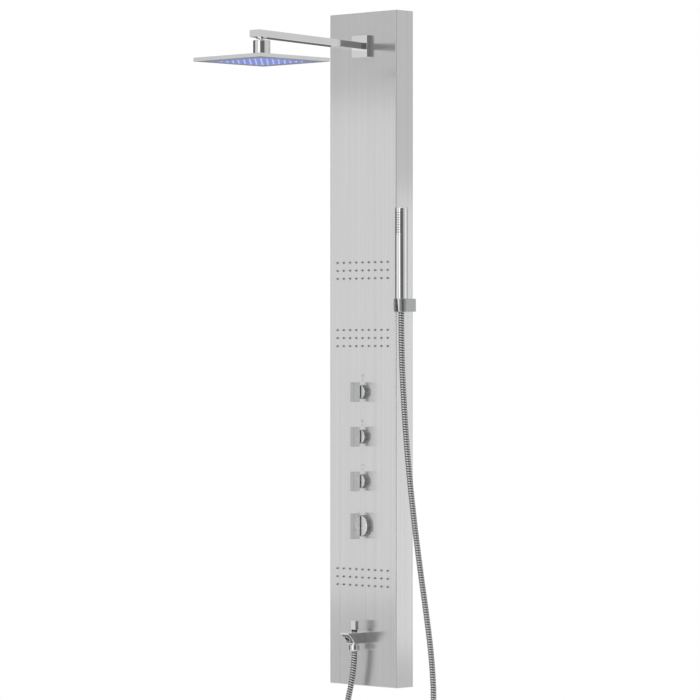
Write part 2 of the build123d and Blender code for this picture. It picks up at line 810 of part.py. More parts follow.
# Valve body: the bar, the wider mixer block, the snouts through the panel, seats, galleries and ports.
bar_top = stop_top_z + body_end
bar_bottom = mixer_z + mixer_half_height
with BuildPart() as valve_body:
    with BuildSketch(Plane.XZ.offset(body_back_out)):
        with Locations((0, (bar_top + bar_bottom) / 2)):
            Rectangle(2 * body_half_width, bar_top - bar_bottom)
    extrude(amount=inner_front - body_back_out)
    with BuildSketch(Plane.XZ.offset(mixer_back_out)):
        with Locations((0, mixer_z)):
            Rectangle(2 * mixer_half_width, 2 * mixer_half_height)
    extrude(amount=inner_front - mixer_back_out)
    with BuildSketch(Plane.XZ.offset(inner_front)):
        with Locations(*[(0, z) for z in stop_z]):
            Circle(stop_snout_radius)
        with Locations((0, mixer_z)):
            Circle(mixer_snout_radius)
    extrude(amount=snout_front_out - inner_front)
    with BuildSketch(Plane.XY.offset(bar_top)):
        with Locations((0, -tube_out)):
            Circle(socket_radius)
    extrude(amount=socket_length)
    with BuildSketch(Plane.YZ.offset(-body_half_width)):
        with Locations((-tube_out, stop_z[1]), (-tube_out, stop_z[2])):
            Circle(socket_radius)
    extrude(amount=-socket_length)
    with BuildSketch(Plane.YZ.offset(body_half_width)):
        with Locations((-tube_out, stop_z[1])):
            Circle(socket_radius)
    extrude(amount=socket_length)
    with BuildSketch(Plane.XZ.offset(mixer_back_out)):
        with Locations((0, mixer_z)):
            with GridLocations(inlet_pitch, 0, 2, 1):
                Circle(inlet_radius)
    extrude(amount=-inlet_length)
    with BuildSketch(Plane.XZ.offset(seat_bottom_out)):
        with Locations(*[(0, z) for z in stop_z]):
            Circle(stop_seat_radius)
        with Locations((0, mixer_z)):
            Circle(mixer_seat_radius)
    extrude(amount=snout_front_out - seat_bottom_out, mode=Mode.SUBTRACT)
    with BuildSketch(Plane.XZ.offset(tube_out)):
        with Locations(*[(0, z) for z in stop_z]):
            Circle(port_bore)
    extrude(amount=seat_bottom_out - tube_out, mode=Mode.SUBTRACT)
    with BuildSketch(Plane.XY.offset(mixer_z)):
        with Locations((gallery_x, -(seat_bottom_out + snout_front_out) / 2)):
            Circle(gallery_radius)
    extrude(amount=stop_z[0] - mixer_z, mode=Mode.SUBTRACT)
    with BuildSketch(Plane.XY.offset(stop_z[0])):
        with Locations((0, -tube_out)):
            Circle(port_bore)
    extrude(amount=bar_top + socket_length - stop_z[0], mode=Mode.SUBTRACT)
    with BuildSketch(Plane.XY.offset(bar_top + socket_length)):
        with Locations((0, -tube_out)):
            Circle(tube_radius + socket_clearance)
    extrude(amount=-socket_depth, mode=Mode.SUBTRACT)
    with BuildSketch(Plane.YZ):
        with Locations((-tube_out, stop_z[1]), (-tube_out, stop_z[2])):
            Circle(port_bore)
    extrude(amount=-(body_half_width + socket_length), mode=Mode.SUBTRACT)
    with BuildSketch(Plane.YZ.offset(-(body_half_width + socket_length))):
        with Locations((-tube_out, stop_z[1]), (-tube_out, stop_z[2])):
            Circle(tube_radius + socket_clearance)
    extrude(amount=socket_depth, mode=Mode.SUBTRACT)
    with BuildSketch(Plane.YZ):
        with Locations((-tube_out, stop_z[1])):
            Circle(port_bore)
    extrude(amount=body_half_width + socket_length, mode=Mode.SUBTRACT)
    with BuildSketch(Plane.YZ.offset(body_half_width + socket_length)):
        with Locations((-tube_out, stop_z[1])):
            Circle(tube_radius + socket_clearance)
    extrude(amount=-socket_depth, mode=Mode.SUBTRACT)
    with BuildSketch(Plane.XZ.offset(mixer_back_out - inlet_length)):
        with Locations((0, mixer_z)):
            with GridLocations(inlet_pitch, 0, 2, 1):
                Circle(inlet_bore)
    extrude(amount=inlet_length + inlet_depth, mode=Mode.SUBTRACT)
    with BuildSketch(Plane.YZ.offset(-inlet_pitch / 2)):
        with Locations((-(mixer_back_out + inlet_depth - cross_bore_setback), mixer_z)):
            Circle(port_bore)
    extrude(amount=inlet_pitch, mode=Mode.SUBTRACT)
valve_body.part.label = "valve_body"
export_step(valve_body.part, "parts/valve_body.step")

# Cartridges, rosettes and handles of the three stops and of the mixer, all on the same pattern.
valves = [(f"stop_{i + 1}", z) for i, z in enumerate(stop_z)] + [("mixer", mixer_z)]
rosette_front = front + rosette_depth
handle_back = rosette_front + handle_gap
stem_end = snout_front_out + cartridge_flange - stem_depth
for name, z in valves:
    is_mixer = name == "mixer"
    bore_radius = mixer_seat_radius if is_mixer else stop_seat_radius
    snout_radius = mixer_snout_radius if is_mixer else stop_snout_radius
    rosette_radius = mixer_rosette_radius if is_mixer else stop_rosette_radius
    blade_height = mixer_handle_height if is_mixer else stop_handle_height

    with BuildPart() as cartridge:
        with BuildSketch(Plane.XZ.offset(seat_bottom_out + socket_gap)):
            with Locations((0, z)):
                Circle(bore_radius - cartridge_clearance)
        extrude(amount=snout_front_out - seat_bottom_out - socket_gap)
        with BuildSketch(Plane.XZ.offset(snout_front_out)):
            with Locations((0, z)):
                Circle(snout_radius - cartridge_rim)
        extrude(amount=cartridge_flange)
        with BuildSketch(Plane.XZ.offset(stem_end - socket_gap)):
            with Locations((0, z)):
                Circle(stem_radius + stem_clearance)
        extrude(amount=stem_depth + socket_gap, mode=Mode.SUBTRACT)
    cartridge.part.label = f"{name}_cartridge"
    export_step(cartridge.part, f"parts/{name}_cartridge.step")

    with BuildPart() as rosette:
        with BuildSketch(Plane.XZ.offset(front)):
            with Locations((0, z)):
                Circle(rosette_radius)
        extrude(amount=rosette_depth)
        chamfer(rosette.faces().sort_by(Axis.Y)[0].edges(), rosette_edge)
        with BuildSketch(Plane.XZ.offset(front)):
            with Locations((0, z)):
                Circle(rosette_radius - rosette_wall)
        extrude(amount=rosette_depth - rosette_face, mode=Mode.SUBTRACT)
        with BuildSketch(Plane.XZ.offset(front)):
            with Locations((0, z)):
                Circle(stem_radius + stem_hole_clearance)
        extrude(amount=rosette_depth, mode=Mode.SUBTRACT)
    rosette.part.label = f"{name}_rosette"
    export_step(rosette.part, f"parts/{name}_rosette.step")

    with BuildPart() as handle:
        with BuildSketch(Plane.XZ.offset(handle_back)):
            with Locations((0, z)):
                Rectangle(handle_width, blade_height)
        extrude(amount=handle_depth)
        chamfer(handle.faces().sort_by(Axis.Y)[0].edges(), handle_edge)
        with BuildSketch(Plane.XZ.offset(stem_end)):
            with Locations((0, z)):
                Circle(stem_radius)
        extrude(amount=handle_back - stem_end)
    handle.part.label = f"{name}_handle"
    export_step(handle.part, f"parts/{name}_handle.step")

# Ring nuts that clamp the valve body to the panel, hidden under the rosettes.
with BuildPart() as lock_nuts:
    with BuildSketch(Plane.XZ.offset(front)):
        with Locations(*[(0, z) for z in stop_z]):
            Circle(stop_snout_radius + lock_nut_wall)
            Circle(stop_snout_radius + thread_clearance, mode=Mode.SUBTRACT)
        with Locations((0, mixer_z)):
            Circle(mixer_snout_radius + lock_nut_wall)
            Circle(mixer_snout_radius + thread_clearance, mode=Mode.SUBTRACT)
    extrude(amount=lock_nut_height)
lock_nuts.part.label = "lock_nuts"
export_step(lock_nuts.part, "parts/lock_nuts.step")

# Water tubes: straight runs with tangent bends, each seated in its two sockets.
seat_in = socket_depth - socket_gap
rain_low = bar_top + socket_length - seat_in
rain_high = arm_z - elbow_radius - socket_length + seat_in
port_x = body_half_width + socket_length - seat_in
low_tee = tee_half + socket_length - seat_in
elbow_x = -(elbow_radius + socket_length - seat_in)
tube_routes = {
    "rain_tube": [(0, rain_low), (0, rain_high)],
    "jet_tube_upper": [(-port_x, stop_z[1]), (-tube_side, stop_z[1]), (-tube_side, jet_z[1] - low_tee)],
    "jet_tube_link": [(-tube_side, jet_z[1] + low_tee), (-tube_side, jet_z[0] - low_tee)],
    "jet_tube_lower": [(port_x, stop_z[1]), (tube_side, stop_z[1]), (tube_side, jet_z[2] + low_tee)],
    "spout_tube": [
        (-port_x, stop_z[2]),
        (-tube_side, stop_z[2]),
        (-tube_side, spout_z),
        (elbow_x, spout_z),
    ],
}
for name, route in tube_routes.items():
    with BuildPart() as tube:
        with BuildLine(Plane.XZ.offset(tube_out)) as tube_path:
            if len(route) > 2:
                FilletPolyline(*route, radius=tube_bend)
            else:
                Line(*route)
        for edge in tube_path.edges().sort_by(tube_path.wire()):
            with BuildSketch(Plane(edge @ 0, z_dir=edge % 0)):
                Circle(tube_radius)
                Circle(tube_bore, mode=Mode.SUBTRACT)
            if edge.geom_type == GeomType.LINE:
                extrude(amount=edge.length)
            else:
                bend_axis = Axis(edge.arc_center, (edge % 0).cross(edge % 1))
                revolve(axis=bend_axis, revolution_arc=(edge % 0).get_angle(edge % 1))
    tube.part.label = name
    export_step(tube.part, f"parts/{name}.step")

# Bath spout: a bar whose free end is undercut to the outlet, with its stub, channel and diverter bore.
slope_dy = spout_top_length - spout_bottom_length
slope_dz = spout_height - spout_lip
slope = sqrt(slope_dy**2 + slope_dz**2)
mouth_y = -(front + (spout_top_length + spout_bottom_length) / 2)
mouth_z = spout_bottom + slope_dz / 2
mouth_dir = Vector(0, -slope_dz / slope, -slope_dy / slope)
mouth = Plane((0, mouth_y, mouth_z), x_dir=(1, 0, 0), z_dir=mouth_dir)
chamber_low = spout_bottom + chamber_floor
with BuildPart() as spout_body:
    with BuildSketch(Plane.YZ.offset(-spout_width / 2)):
        with BuildLine():
            Polyline(
                (-front, spout_bottom),
                (-front, spout_top),
                (-front - spout_top_length, spout_top),
                (-front - spout_top_length, spout_top - spout_lip),
                (-front - spout_bottom_length, spout_bottom),
                close=True,
            )
        make_face()
    extrude(amount=spout_width)
    chamfer(spout_body.edges().filter_by(Axis.Y), spout_edge)
    with BuildSketch(Plane.XZ.offset(stub_end_out)):
        with Locations((0, spout_z)):
            Circle(stub_radius)
    extrude(amount=front - stub_end_out)
    with BuildSketch(Plane.XZ.offset(stub_end_out)):
        with Locations((0, spout_z)):
            Circle(spout_channel)
    extrude(amount=front + diverter_reach - stub_end_out, mode=Mode.SUBTRACT)
    with BuildSketch(mouth):
        Circle(aerator_radius)
    extrude(amount=-aerator_depth, mode=Mode.SUBTRACT)
    with BuildSketch(Plane.XZ.offset(front + diverter_reach)):
        with Locations((0, mouth_z)):
            Circle(aerator_radius - aerator_depth / 2)
    extrude(amount=(spout_top_length + spout_bottom_length) / 2 - diverter_reach, mode=Mode.SUBTRACT)
    with BuildSketch(Plane.XY.offset(chamber_low)):
        with Locations((0, diverter_y)):
            Circle(chamber_bore)
    extrude(amount=spout_top - chamber_low, mode=Mode.SUBTRACT)
    with BuildSketch(Plane.XY.offset(spout_bottom)):
        with Locations((0, diverter_y)):
            Circle(nipple_radius)
    extrude(amount=-nipple_length)
    with BuildSketch(Plane.XY.offset(spout_bottom - nipple_length)):
        with Locations((0, diverter_y)):
            Circle(nipple_bore)
    extrude(amount=nipple_length + chamber_floor, mode=Mode.SUBTRACT)
spout_body.part.label = "spout_body"
export_step(spout_body.part, "parts/spout_body.step")

with BuildPart() as aerator:
    with BuildSketch(mouth):
        Circle(aerator_radius - aerator_clearance)
    extrude(amount=-aerator_depth)
    with BuildSketch(mouth.offset(-aerator_depth)):
        with PolarLocations(aerator_radius / 2, 6):
            Circle(aerator_radius / 8)
    extrude(amount=aerator_depth, mode=Mode.SUBTRACT)
aerator.part.label = "aerator"
export_step(aerator.part, "parts/aerator.step")

# Diverter: the bush in the spout's top, and the knob with its stem and gate.
with BuildPart() as diverter_bush:
    with BuildSketch(Plane.XY.offset(spout_top)):
        with Locations((0, diverter_y)):
            Circle(chamber_bore - bush_clearance)
            Circle(diverter_stem + diverter_clearance, mode=Mode.SUBTRACT)
    extrude(amount=-bush_height)
diverter_bush.part.label = "diverter_bush"
export_step(diverter_bush.part, "parts/diverter_bush.step")

gate_low = chamber_low + socket_gap
knob_low = spout_top + diverter_neck
with BuildPart() as diverter_knob:
    with BuildSketch(Plane.XY.offset(knob_low)):
        with Locations((0, diverter_y)):
            Rectangle(diverter_width, diverter_depth)
    extrude(amount=diverter_height)
    chamfer(diverter_knob.edges(), diverter_edge)
    with BuildSketch(Plane.XY.offset(gate_low)):
        with Locations((0, diverter_y)):
            Circle(diverter_stem)
    extrude(amount=knob_low - gate_low)
    with BuildSketch(Plane.XY.offset(gate_low)):
        with Locations((0, diverter_y)):
            Circle(gate_radius)
    extrude(amount=gate_height)
diverter_knob.part.label = "diverter_knob"
export_step(diverter_knob.part, "parts/diverter_knob.step")

# Hose nut under the spout.
hose_nut_high = spout_bottom - hose_nut_top
hose_nut_low = hose_nut_high - hose_nut_height
with BuildPart() as hose_nut:
    with BuildSketch(Plane.XY.offset(hose_nut_low)):
        with Locations((0, diverter_y)):
            Circle(hose_nut_radius)
    extrude(amount=hose_nut_height)
    fillet(hose_nut.faces().sort_by(Axis.Z)[0].edges(), hose_nut_round)
    with BuildSketch(Plane.XY.offset(spout_bottom - nipple_length - socket_gap)):
        with Locations((0, diverter_y)):
            Circle(nipple_radius + thread_clearance)
    extrude(amount=nipple_length - hose_nut_top + socket_gap, mode=Mode.SUBTRACT)
    with BuildSketch(Plane.XY.offset(hose_nut_low)):
        with Locations((0, diverter_y)):
            Circle(hose_bore)
    extrude(amount=hose_nut_height, mode=Mode.SUBTRACT)
hose_nut.part.label = "hose_nut"
export_step(hose_nut.part, "parts/hose_nut.step")

# Stick handset: a hollow round bar with a spray strip near the top, turned a little to the right.
handset_high = handset_z + handset_length
spray_mid = handset_high - spray_top - spray_height / 2
spray_front = sqrt(handset_radius**2 - (spray_width / 2) ** 2)
spray_angle = radians(spray_turn)
spray_plane = Plane(
    (holder_x, holder_y, spray_mid),
    x_dir=(cos(spray_angle), sin(spray_angle), 0),
    z_dir=(sin(spray_angle), -cos(spray_angle), 0),
)
hollow = handset_radius - handset_wall
with BuildPart() as handset_body:
    with BuildSketch(Plane.XY.offset(handset_z)):
        with Locations((holder_x, holder_y)):
            Circle(handset_radius)
    extrude(amount=handset_length)
    fillet(handset_body.faces().sort_by(Axis.Z)[-1].edges(), handset_top_round)
    with BuildSketch(Plane.XY.offset(handset_z + handset_socket_depth)):
        with Locations((holder_x, holder_y)):
            Circle(hollow)
    extrude(amount=handset_length - handset_socket_depth - handset_wall, mode=Mode.SUBTRACT)
    with BuildSketch(Plane.XY.offset(handset_z)):
        with Locations((holder_x, holder_y)):
            Circle(handset_socket)
    extrude(amount=handset_socket_depth, mode=Mode.SUBTRACT)
    with BuildSketch(spray_plane):
        Rectangle(spray_width, spray_height)
    extrude(amount=handset_radius, mode=Mode.SUBTRACT)
handset_body.part.label = "handset_body"
export_step(handset_body.part, "parts/handset_body.step")

with BuildPart() as handset_spray:
    with BuildSketch(spray_plane.offset(spray_front)):
        Rectangle(spray_width - 2 * spray_clearance, spray_height - 2 * spray_clearance)
    extrude(amount=-spray_thickness)
    with BuildSketch(spray_plane.offset(spray_front)):
        with GridLocations(spray_pitch_x, spray_pitch_z, spray_columns, spray_rows):
            RegularPolygon(spray_nozzle_radius, 6)
    extrude(amount=spray_nozzle_reach)
handset_spray.part.label = "handset_spray"
export_step(handset_spray.part, "parts/handset_spray.step")

# Conical hose nut: it screws into the handset and hangs in the bracket.
cone_low = holder_bottom + holder_gap
cone_axis = Axis((holder_x, holder_y, 0), (0, 0, 1))
with BuildPart() as hose_cone:
    with BuildSketch(Plane((holder_x, holder_y, 0), x_dir=(1, 0, 0), z_dir=(0, -1, 0))):
        with BuildLine():
            Polyline(
                (hose_bore, cone_low),
                (cone_bottom_radius, cone_low),
                (cone_top_radius, handset_z),
                (handset_socket - thread_clearance, handset_z),
                (handset_socket - thread_clearance, handset_z + handset_socket_depth),
                (hose_bore, handset_z + handset_socket_depth),
                close=True,
            )
        make_face()
    revolve(axis=cone_axis)
hose_cone.part.label = "hose_cone"
export_step(hose_cone.part, "parts/hose_cone.step")

# Bracket: a bullet-shaped block with a tapered hole and a slot for the hose.
with BuildPart() as handset_bracket:
    with BuildSketch(Plane.XY.offset(holder_bottom)):
        with Locations((holder_x, holder_y)):
            Circle(holder_width / 2)
        with Locations((holder_x, (holder_y + holder_back_y) / 2)):
            Rectangle(holder_width, holder_back_y - holder_y)
    extrude(amount=holder_height)
    chamfer(handset_bracket.faces().sort_by(Axis.Z)[-1].edges().sort_by(Axis.Y)[0], holder_edge)
    with BuildSketch(Plane.XY.offset(holder_bottom)):
        with Locations((holder_x, holder_y - holder_width / 2)):
            Rectangle(holder_slot, holder_width)
    extrude(amount=holder_height, mode=Mode.SUBTRACT)
    with BuildSketch(Plane((holder_x, holder_y, 0), x_dir=(1, 0, 0), z_dir=(0, -1, 0))):
        with BuildLine():
            Polyline(
                (0, holder_bottom),
                (cone_bottom_radius + cone_clearance, holder_bottom),
                (cone_top_radius + cone_clearance, holder_top),
                (0, holder_top),
                close=True,
            )
        make_face()
    revolve(axis=cone_axis, mode=Mode.SUBTRACT)
    with BuildSketch(Plane.YZ.offset(panel_width / 2)):
        with Locations((holder_screw_y, holder_bottom + holder_height / 2)):
            with GridLocations(0, holder_screw_pitch, 1, 2):
                Circle(screw_radius + thread_clearance)
    extrude(amount=screw_length, mode=Mode.SUBTRACT)
handset_bracket.part.label = "handset_bracket"
export_step(handset_bracket.part, "parts/handset_bracket.step")

with BuildPart() as bracket_screws:
    with BuildSketch(Plane.YZ.offset(panel_width / 2 - sheet)):
        with Locations((holder_screw_y, holder_bottom + holder_height / 2)):
            with GridLocations(0, holder_screw_pitch, 1, 2):
                Circle(screw_radius)
    extrude(amount=screw_length)
    with BuildSketch(Plane.YZ.offset(panel_width / 2 - sheet)):
        with Locations((holder_screw_y, holder_bottom + holder_height / 2)):
            with GridLocations(0, holder_screw_pitch, 1, 2):
                Circle(screw_head_radius)
    extrude(amount=-screw_head_height)
bracket_screws.part.label = "bracket_screws"
export_step(bracket_screws.part, "parts/bracket_screws.step")

# Hose: its route follows its two ends, each bend is as large as its runs allow, four rings make one rib.
top_shift = Vector(holder_x, holder_y, cone_low) - Vector(*hose_points[0])
low_shift = Vector(0, diverter_y, hose_nut_low) - Vector(*hose_points[-1])
last = len(hose_points) - 1
shares = [min(1.0, max(0.0, (i - 1) / (last - 2))) for i in range(last + 1)]
hose_route = [Vector(*p) + top_shift * (1 - t) + low_shift * t for p, t in zip(hose_points, shares)]
runs = [b - a for a, b in zip(hose_route, hose_route[1:])]
turns = [a.get_angle(b) for a, b in zip(runs, runs[1:])]
bends = [
    0.45 * min(a.length, b.length) / tan(radians(turn) / 2)
    for a, b, turn in zip(runs, runs[1:], turns)
]
print("hose runs", [round(r.length) for r in runs])
print("hose turns", [round(t, 1) for t in turns], "radii", [round(b) for b in bends])
with BuildLine() as hose_line:
    FilletPolyline(*hose_route, radius=bends)
hose_path = hose_line.wire()
hose_length = hose_path.length
rib_pitch = hose_length / hose_ribs
rib_profile = ((0.15, hose_root), (0.35, hose_radius), (0.75, hose_radius), (0.95, hose_root))
rings = [(0.0, hose_root)]
rings += [((rib + share) * rib_pitch, r) for rib in range(hose_ribs) for share, r in rib_profile]
rings += [(hose_length, hose_root)]
bore_rings = [(rib * rib_pitch, hose_bore) for rib in range(hose_ribs + 1)]
with BuildPart() as hose:
    for sections, mode in ((rings, Mode.ADD), (bore_rings, Mode.SUBTRACT)):
        for place, radius in sections:
            at = hose_path.position_at(place, position_mode=PositionMode.LENGTH)
            along = hose_path.tangent_at(place, position_mode=PositionMode.LENGTH)
            with BuildSketch(Plane(at, x_dir=(0, 1, 0), z_dir=along)):
                Circle(radius)
        loft(ruled=True, mode=mode)
hose.part.label = "hose"
export_step(hose.part, "parts/hose.step")
print("hose length", round(hose_length, 1), "volume", round(hose.part.volume))
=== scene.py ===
"""Looks of a rainfall shower column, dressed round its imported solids.

Laid out as an add-on with one operator for each group of pieces. Run as a script, it calls them all.
Metres throughout, in the frame of the solids: X to the right, Y into the wall, Z up.
"""

from math import cos, pi, radians, sin

import bpy
from bpy.props import FloatProperty, FloatVectorProperty, IntProperty, PointerProperty
from mathutils import Euler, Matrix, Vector


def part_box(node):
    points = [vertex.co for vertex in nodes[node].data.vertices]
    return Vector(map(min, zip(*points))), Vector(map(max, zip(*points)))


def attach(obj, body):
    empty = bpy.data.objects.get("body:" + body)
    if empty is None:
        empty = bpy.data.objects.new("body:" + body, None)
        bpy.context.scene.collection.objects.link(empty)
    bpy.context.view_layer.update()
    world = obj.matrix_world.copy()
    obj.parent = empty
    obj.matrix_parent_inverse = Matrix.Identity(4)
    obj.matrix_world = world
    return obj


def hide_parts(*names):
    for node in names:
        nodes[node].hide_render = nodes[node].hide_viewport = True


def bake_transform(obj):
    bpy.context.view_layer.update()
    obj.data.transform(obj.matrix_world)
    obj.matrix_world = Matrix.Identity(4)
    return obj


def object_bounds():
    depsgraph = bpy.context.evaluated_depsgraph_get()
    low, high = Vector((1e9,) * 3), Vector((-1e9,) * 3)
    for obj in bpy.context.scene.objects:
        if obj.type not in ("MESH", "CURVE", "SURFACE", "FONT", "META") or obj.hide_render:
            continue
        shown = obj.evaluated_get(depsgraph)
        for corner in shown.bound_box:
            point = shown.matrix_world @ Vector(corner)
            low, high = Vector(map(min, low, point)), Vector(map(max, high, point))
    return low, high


bl_info = {
    "name": "Rainfall shower column",
    "version": (1, 0, 0),
    "blender": (4, 5, 0),
    "location": "3D View > Sidebar > Shower",
    "description": "Dresses the solids of a shower column with finishes, nozzles, handles and its hose",
    "category": "Object",
}

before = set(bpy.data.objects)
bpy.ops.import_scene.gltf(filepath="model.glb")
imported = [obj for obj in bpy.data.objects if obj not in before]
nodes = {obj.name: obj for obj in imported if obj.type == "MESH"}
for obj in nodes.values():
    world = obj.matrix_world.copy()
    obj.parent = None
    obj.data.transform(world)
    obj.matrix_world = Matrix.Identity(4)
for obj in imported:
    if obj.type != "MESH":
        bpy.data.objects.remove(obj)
cad_low, cad_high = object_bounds()
MM = 0.001
TO_FRONT = Euler((radians(90), 0, 0))
TO_FLOOR = Euler((radians(180), 0, 0))
TO_SIDE = Euler((radians(90), 0, radians(90)))
panel_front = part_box("panel_shell")[0].y


def size_of(node):
    """Extent of a solid along X, Y and Z."""
    low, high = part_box(node)
    return high - low


def middle_of(node):
    """Middle of a solid's box."""
    low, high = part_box(node)
    return (low + high) / 2


# Finishes.


class Value:
    """A shader socket that takes part in sums: each sum adds a Math node."""

    def __init__(self, mix, socket):
        self.mix = mix
        self.socket = socket

    def work(self, operation, first, second=0.0):
        """One Math node."""
        return self.mix.node("ShaderNodeMath", {"operation": operation}, {0: first, 1: second})

    def __add__(self, other):
        return self.work("ADD", self, other)

    __radd__ = __add__

    def __mul__(self, other):
        return self.work("MULTIPLY", self, other)

    __rmul__ = __mul__

    def __sub__(self, other):
        return self.work("SUBTRACT", self, other)

    def __rsub__(self, other):
        return self.work("SUBTRACT", other, self)

    def __truediv__(self, other):
        return self.work("DIVIDE", self, other)

    def __pow__(self, other):
        return self.work("POWER", self, other)

    def __lt__(self, other):
        return self.work("LESS_THAN", self, other)

    def fract(self):
        return self.work("FRACT", self)

    def size(self):
        return self.work("ABSOLUTE", self)


class Mix:
    """A node tree that is wired up one call at a time."""

    def __init__(self, tree):
        self.tree = tree
        tree.nodes.clear()

    def feed(self, socket, value):
        """Links a value to a socket, or sets the socket to a number, vector or colour."""
        if isinstance(value, Value):
            self.tree.links.new(value.socket, socket)
        else:
            socket.default_value = value

    def node(self, kind, settings=None, inputs=None, output=0):
        """A new node with its settings, then the values or links of its sockets."""
        made = self.tree.nodes.new(kind)
        for key, value in (settings or {}).items():
            if key == "stops":
                for _ in range(len(value) - 2):
                    made.color_ramp.elements.new(0.5)
                for stop, (place, level) in zip(made.color_ramp.elements, value):
                    stop.position = place
                    stop.color = grey(level)
            else:
                setattr(made, key, value)
        for key, value in (inputs or {}).items():
            self.feed(made.inputs[key], value)
        return Value(self, made.outputs[output]) if made.outputs else None

    def place(self):
        """Object coordinates."""
        return self.node("ShaderNodeTexCoord", output="Object")

    def axes(self, vector):
        """X, Y and Z of a vector."""
        split = self.node("ShaderNodeSeparateXYZ", {}, {0: vector})
        return [Value(self, out) for out in split.socket.node.outputs]

    def noise(self, cell, detail=2.0, rough=0.5, seed=(0, 0, 0)):
        """Cloud from 0 to 1 whose cells have this size, or these sizes along X, Y and Z."""
        sides = cell if isinstance(cell, tuple) else (cell,) * 3
        scaled = self.node("ShaderNodeMapping", {}, {
            "Vector": self.place(),
            "Location": seed,
            "Scale": tuple(1 / side for side in sides),
        })
        return self.node("ShaderNodeTexNoise", {}, {
            "Vector": scaled, "Scale": 1.0, "Detail": detail, "Roughness": rough,
        })

    def ramp(self, value, *stops):
        """Grey level that follows these (place, level) stops."""
        return self.node("ShaderNodeValToRGB", {"stops": stops}, {"Fac": value})

    def blend(self, share, first, second):
        """Colour that goes from first to second."""
        return self.node("ShaderNodeMix", {"data_type": "RGBA"}, {
            "Factor": share, 6: first, 7: second,
        }, output=2)

    def bump(self, height, depth, strength):
        """Normal of a surface with this relief."""
        return self.node("ShaderNodeBump", {}, {
            "Height": height, "Distance": depth, "Strength": strength,
        })


METAL_CAST = 0.003
finishes = {}


def grey(level, cool=0.0):
    """A grey, with a cool cast where one is given."""
    return (level - cool, level, level + cool, 1)


def opaque(colour, share=1.0):
    """A setting's colour, or a share of it, for a socket."""
    return tuple(part * share for part in colour) + (1,)


def finish(name):
    """A new material: its nodes, and a function that feeds its shader's sockets."""
    material = bpy.data.materials.new(name)
    material.use_nodes = True
    mix = Mix(material.node_tree)
    shader = mix.node("ShaderNodeBsdfPrincipled")
    mix.node("ShaderNodeOutputMaterial", {}, {"Surface": shader})
    finishes[name] = material

    def into(socket, value):
        mix.feed(shader.socket.node.inputs[socket], value)

    return mix, into


def brushed_steel(look):
    """Vertical hairlines on the casing."""
    mix, into = finish("brushed_steel")
    hair = mix.noise((0.0007, 0.0007, 0.16), detail=3, rough=0.65)
    streak = mix.noise((0.0024, 0.0024, 1.2), detail=3, rough=0.6, seed=(3, 1, 0))
    cloud = mix.noise((0.22, 0.22, 0.35), detail=1, seed=(0, 5, 2))
    lines = mix.ramp(streak, (0.3, 0.0), (0.7, 1.0))
    tone = hair * 0.4 + lines * 0.4 + cloud * 0.2
    light, dark = opaque(look.steel_colour), opaque(look.steel_colour, look.steel_depth)
    into("Base Color", mix.blend(tone, dark, light))
    into("Metallic", 0.82)
    into("Roughness", look.steel_rough + hair * 0.1 + cloud * 0.04)
    into("Anisotropic", 0.7)
    into("Normal", mix.bump(hair + lines * 0.5, 0.00002, 0.35))


def chrome():
    """Bright fittings with a thin, uneven film."""
    mix, into = finish("chrome")
    film = mix.noise((0.05, 0.05, 0.07), detail=4, rough=0.6)
    spots = mix.noise(0.004, detail=3, seed=(7, 2, 4))
    into("Base Color", mix.blend(film, grey(0.72, METAL_CAST), grey(0.8, METAL_CAST)))
    into("Metallic", 1.0)
    into("Roughness", 0.045 + mix.ramp(film, (0.45, 0), (0.75, 0.06)) + spots * 0.015)


def holder_chrome():
    """Darker, duller chrome of the handset's bracket."""
    mix, into = finish("holder_chrome")
    film = mix.noise((0.03, 0.03, 0.04), detail=4, rough=0.6, seed=(1, 8, 3))
    hair = mix.noise((0.0004, 0.012, 0.02), detail=2, seed=(2, 2, 9))
    tone = hair * 0.5 + film * 0.5
    into("Base Color", mix.blend(tone, grey(0.32, METAL_CAST), grey(0.4, METAL_CAST)))
    into("Metallic", 1.0)
    into("Roughness", 0.2 + hair * 0.08 + film * 0.06)


def shade_painted_chrome(name, node, face_tone, side_tone, metal, rough):
    """Chrome with painted light and shade: one tone as far forward as a solid's front face, and another
    behind it.
    """
    mix, into = finish(name)
    _, y, _ = mix.axes(mix.place())
    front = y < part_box(node)[0].y + 0.5 * MM
    film = mix.noise(0.01, detail=3, seed=(6, 1, 2))
    sides, face = grey(side_tone, METAL_CAST), grey(face_tone, METAL_CAST)
    # Painted light and shade: the front face and the parts behind it get lit and shaded tones of one
    # chrome.
    into("Base Color", mix.blend(front * 0.8 + film * 0.2, sides, face))
    into("Metallic", metal)
    into("Roughness", rough + film * 0.06)


def hose_steel():
    """Wound steel with painted shade in its grooves."""
    mix, into = finish("hose_steel")
    groove = mix.node("ShaderNodeAttribute", {"attribute_name": "groove"}, {}, output="Fac")
    wear = mix.noise((0.012, 0.012, 0.03), detail=3)
    tone = mix.blend(wear, grey(0.57, METAL_CAST), grey(0.71, METAL_CAST))
    # Painted shade: the colour goes dark where the groove attribute says the groove is deep.
    shade = mix.ramp(groove, (0.1, 0.0), (0.6, 1.0))
    into("Base Color", mix.blend(shade, tone, grey(0.08)))
    into("Metallic", 1.0)
    into("Roughness", 0.1 + groove * 0.4 + wear * 0.08)


def border_steel():
    """Hairlines across the rain head's border."""
    mix, into = finish("border_steel")
    hair = mix.noise((0.06, 0.0006, 0.0006), detail=3, rough=0.6)
    cloud = mix.noise(0.05, detail=2, seed=(4, 4, 1))
    tone = hair * 0.6 + cloud * 0.4
    into("Base Color", mix.blend(tone, (0.47, 0.48, 0.58, 1), (0.55, 0.56, 0.68, 1)))
    into("Metallic", 0.6)
    into("Roughness", 0.3 + hair * 0.14)


def glow_range(look):
    """Deepest and palest colour of the rain head's light."""
    pale = [min(1.0, part * 1.5 + 0.05) for part in look.glow_colour]
    return opaque(look.glow_colour, 0.55), opaque(pale)


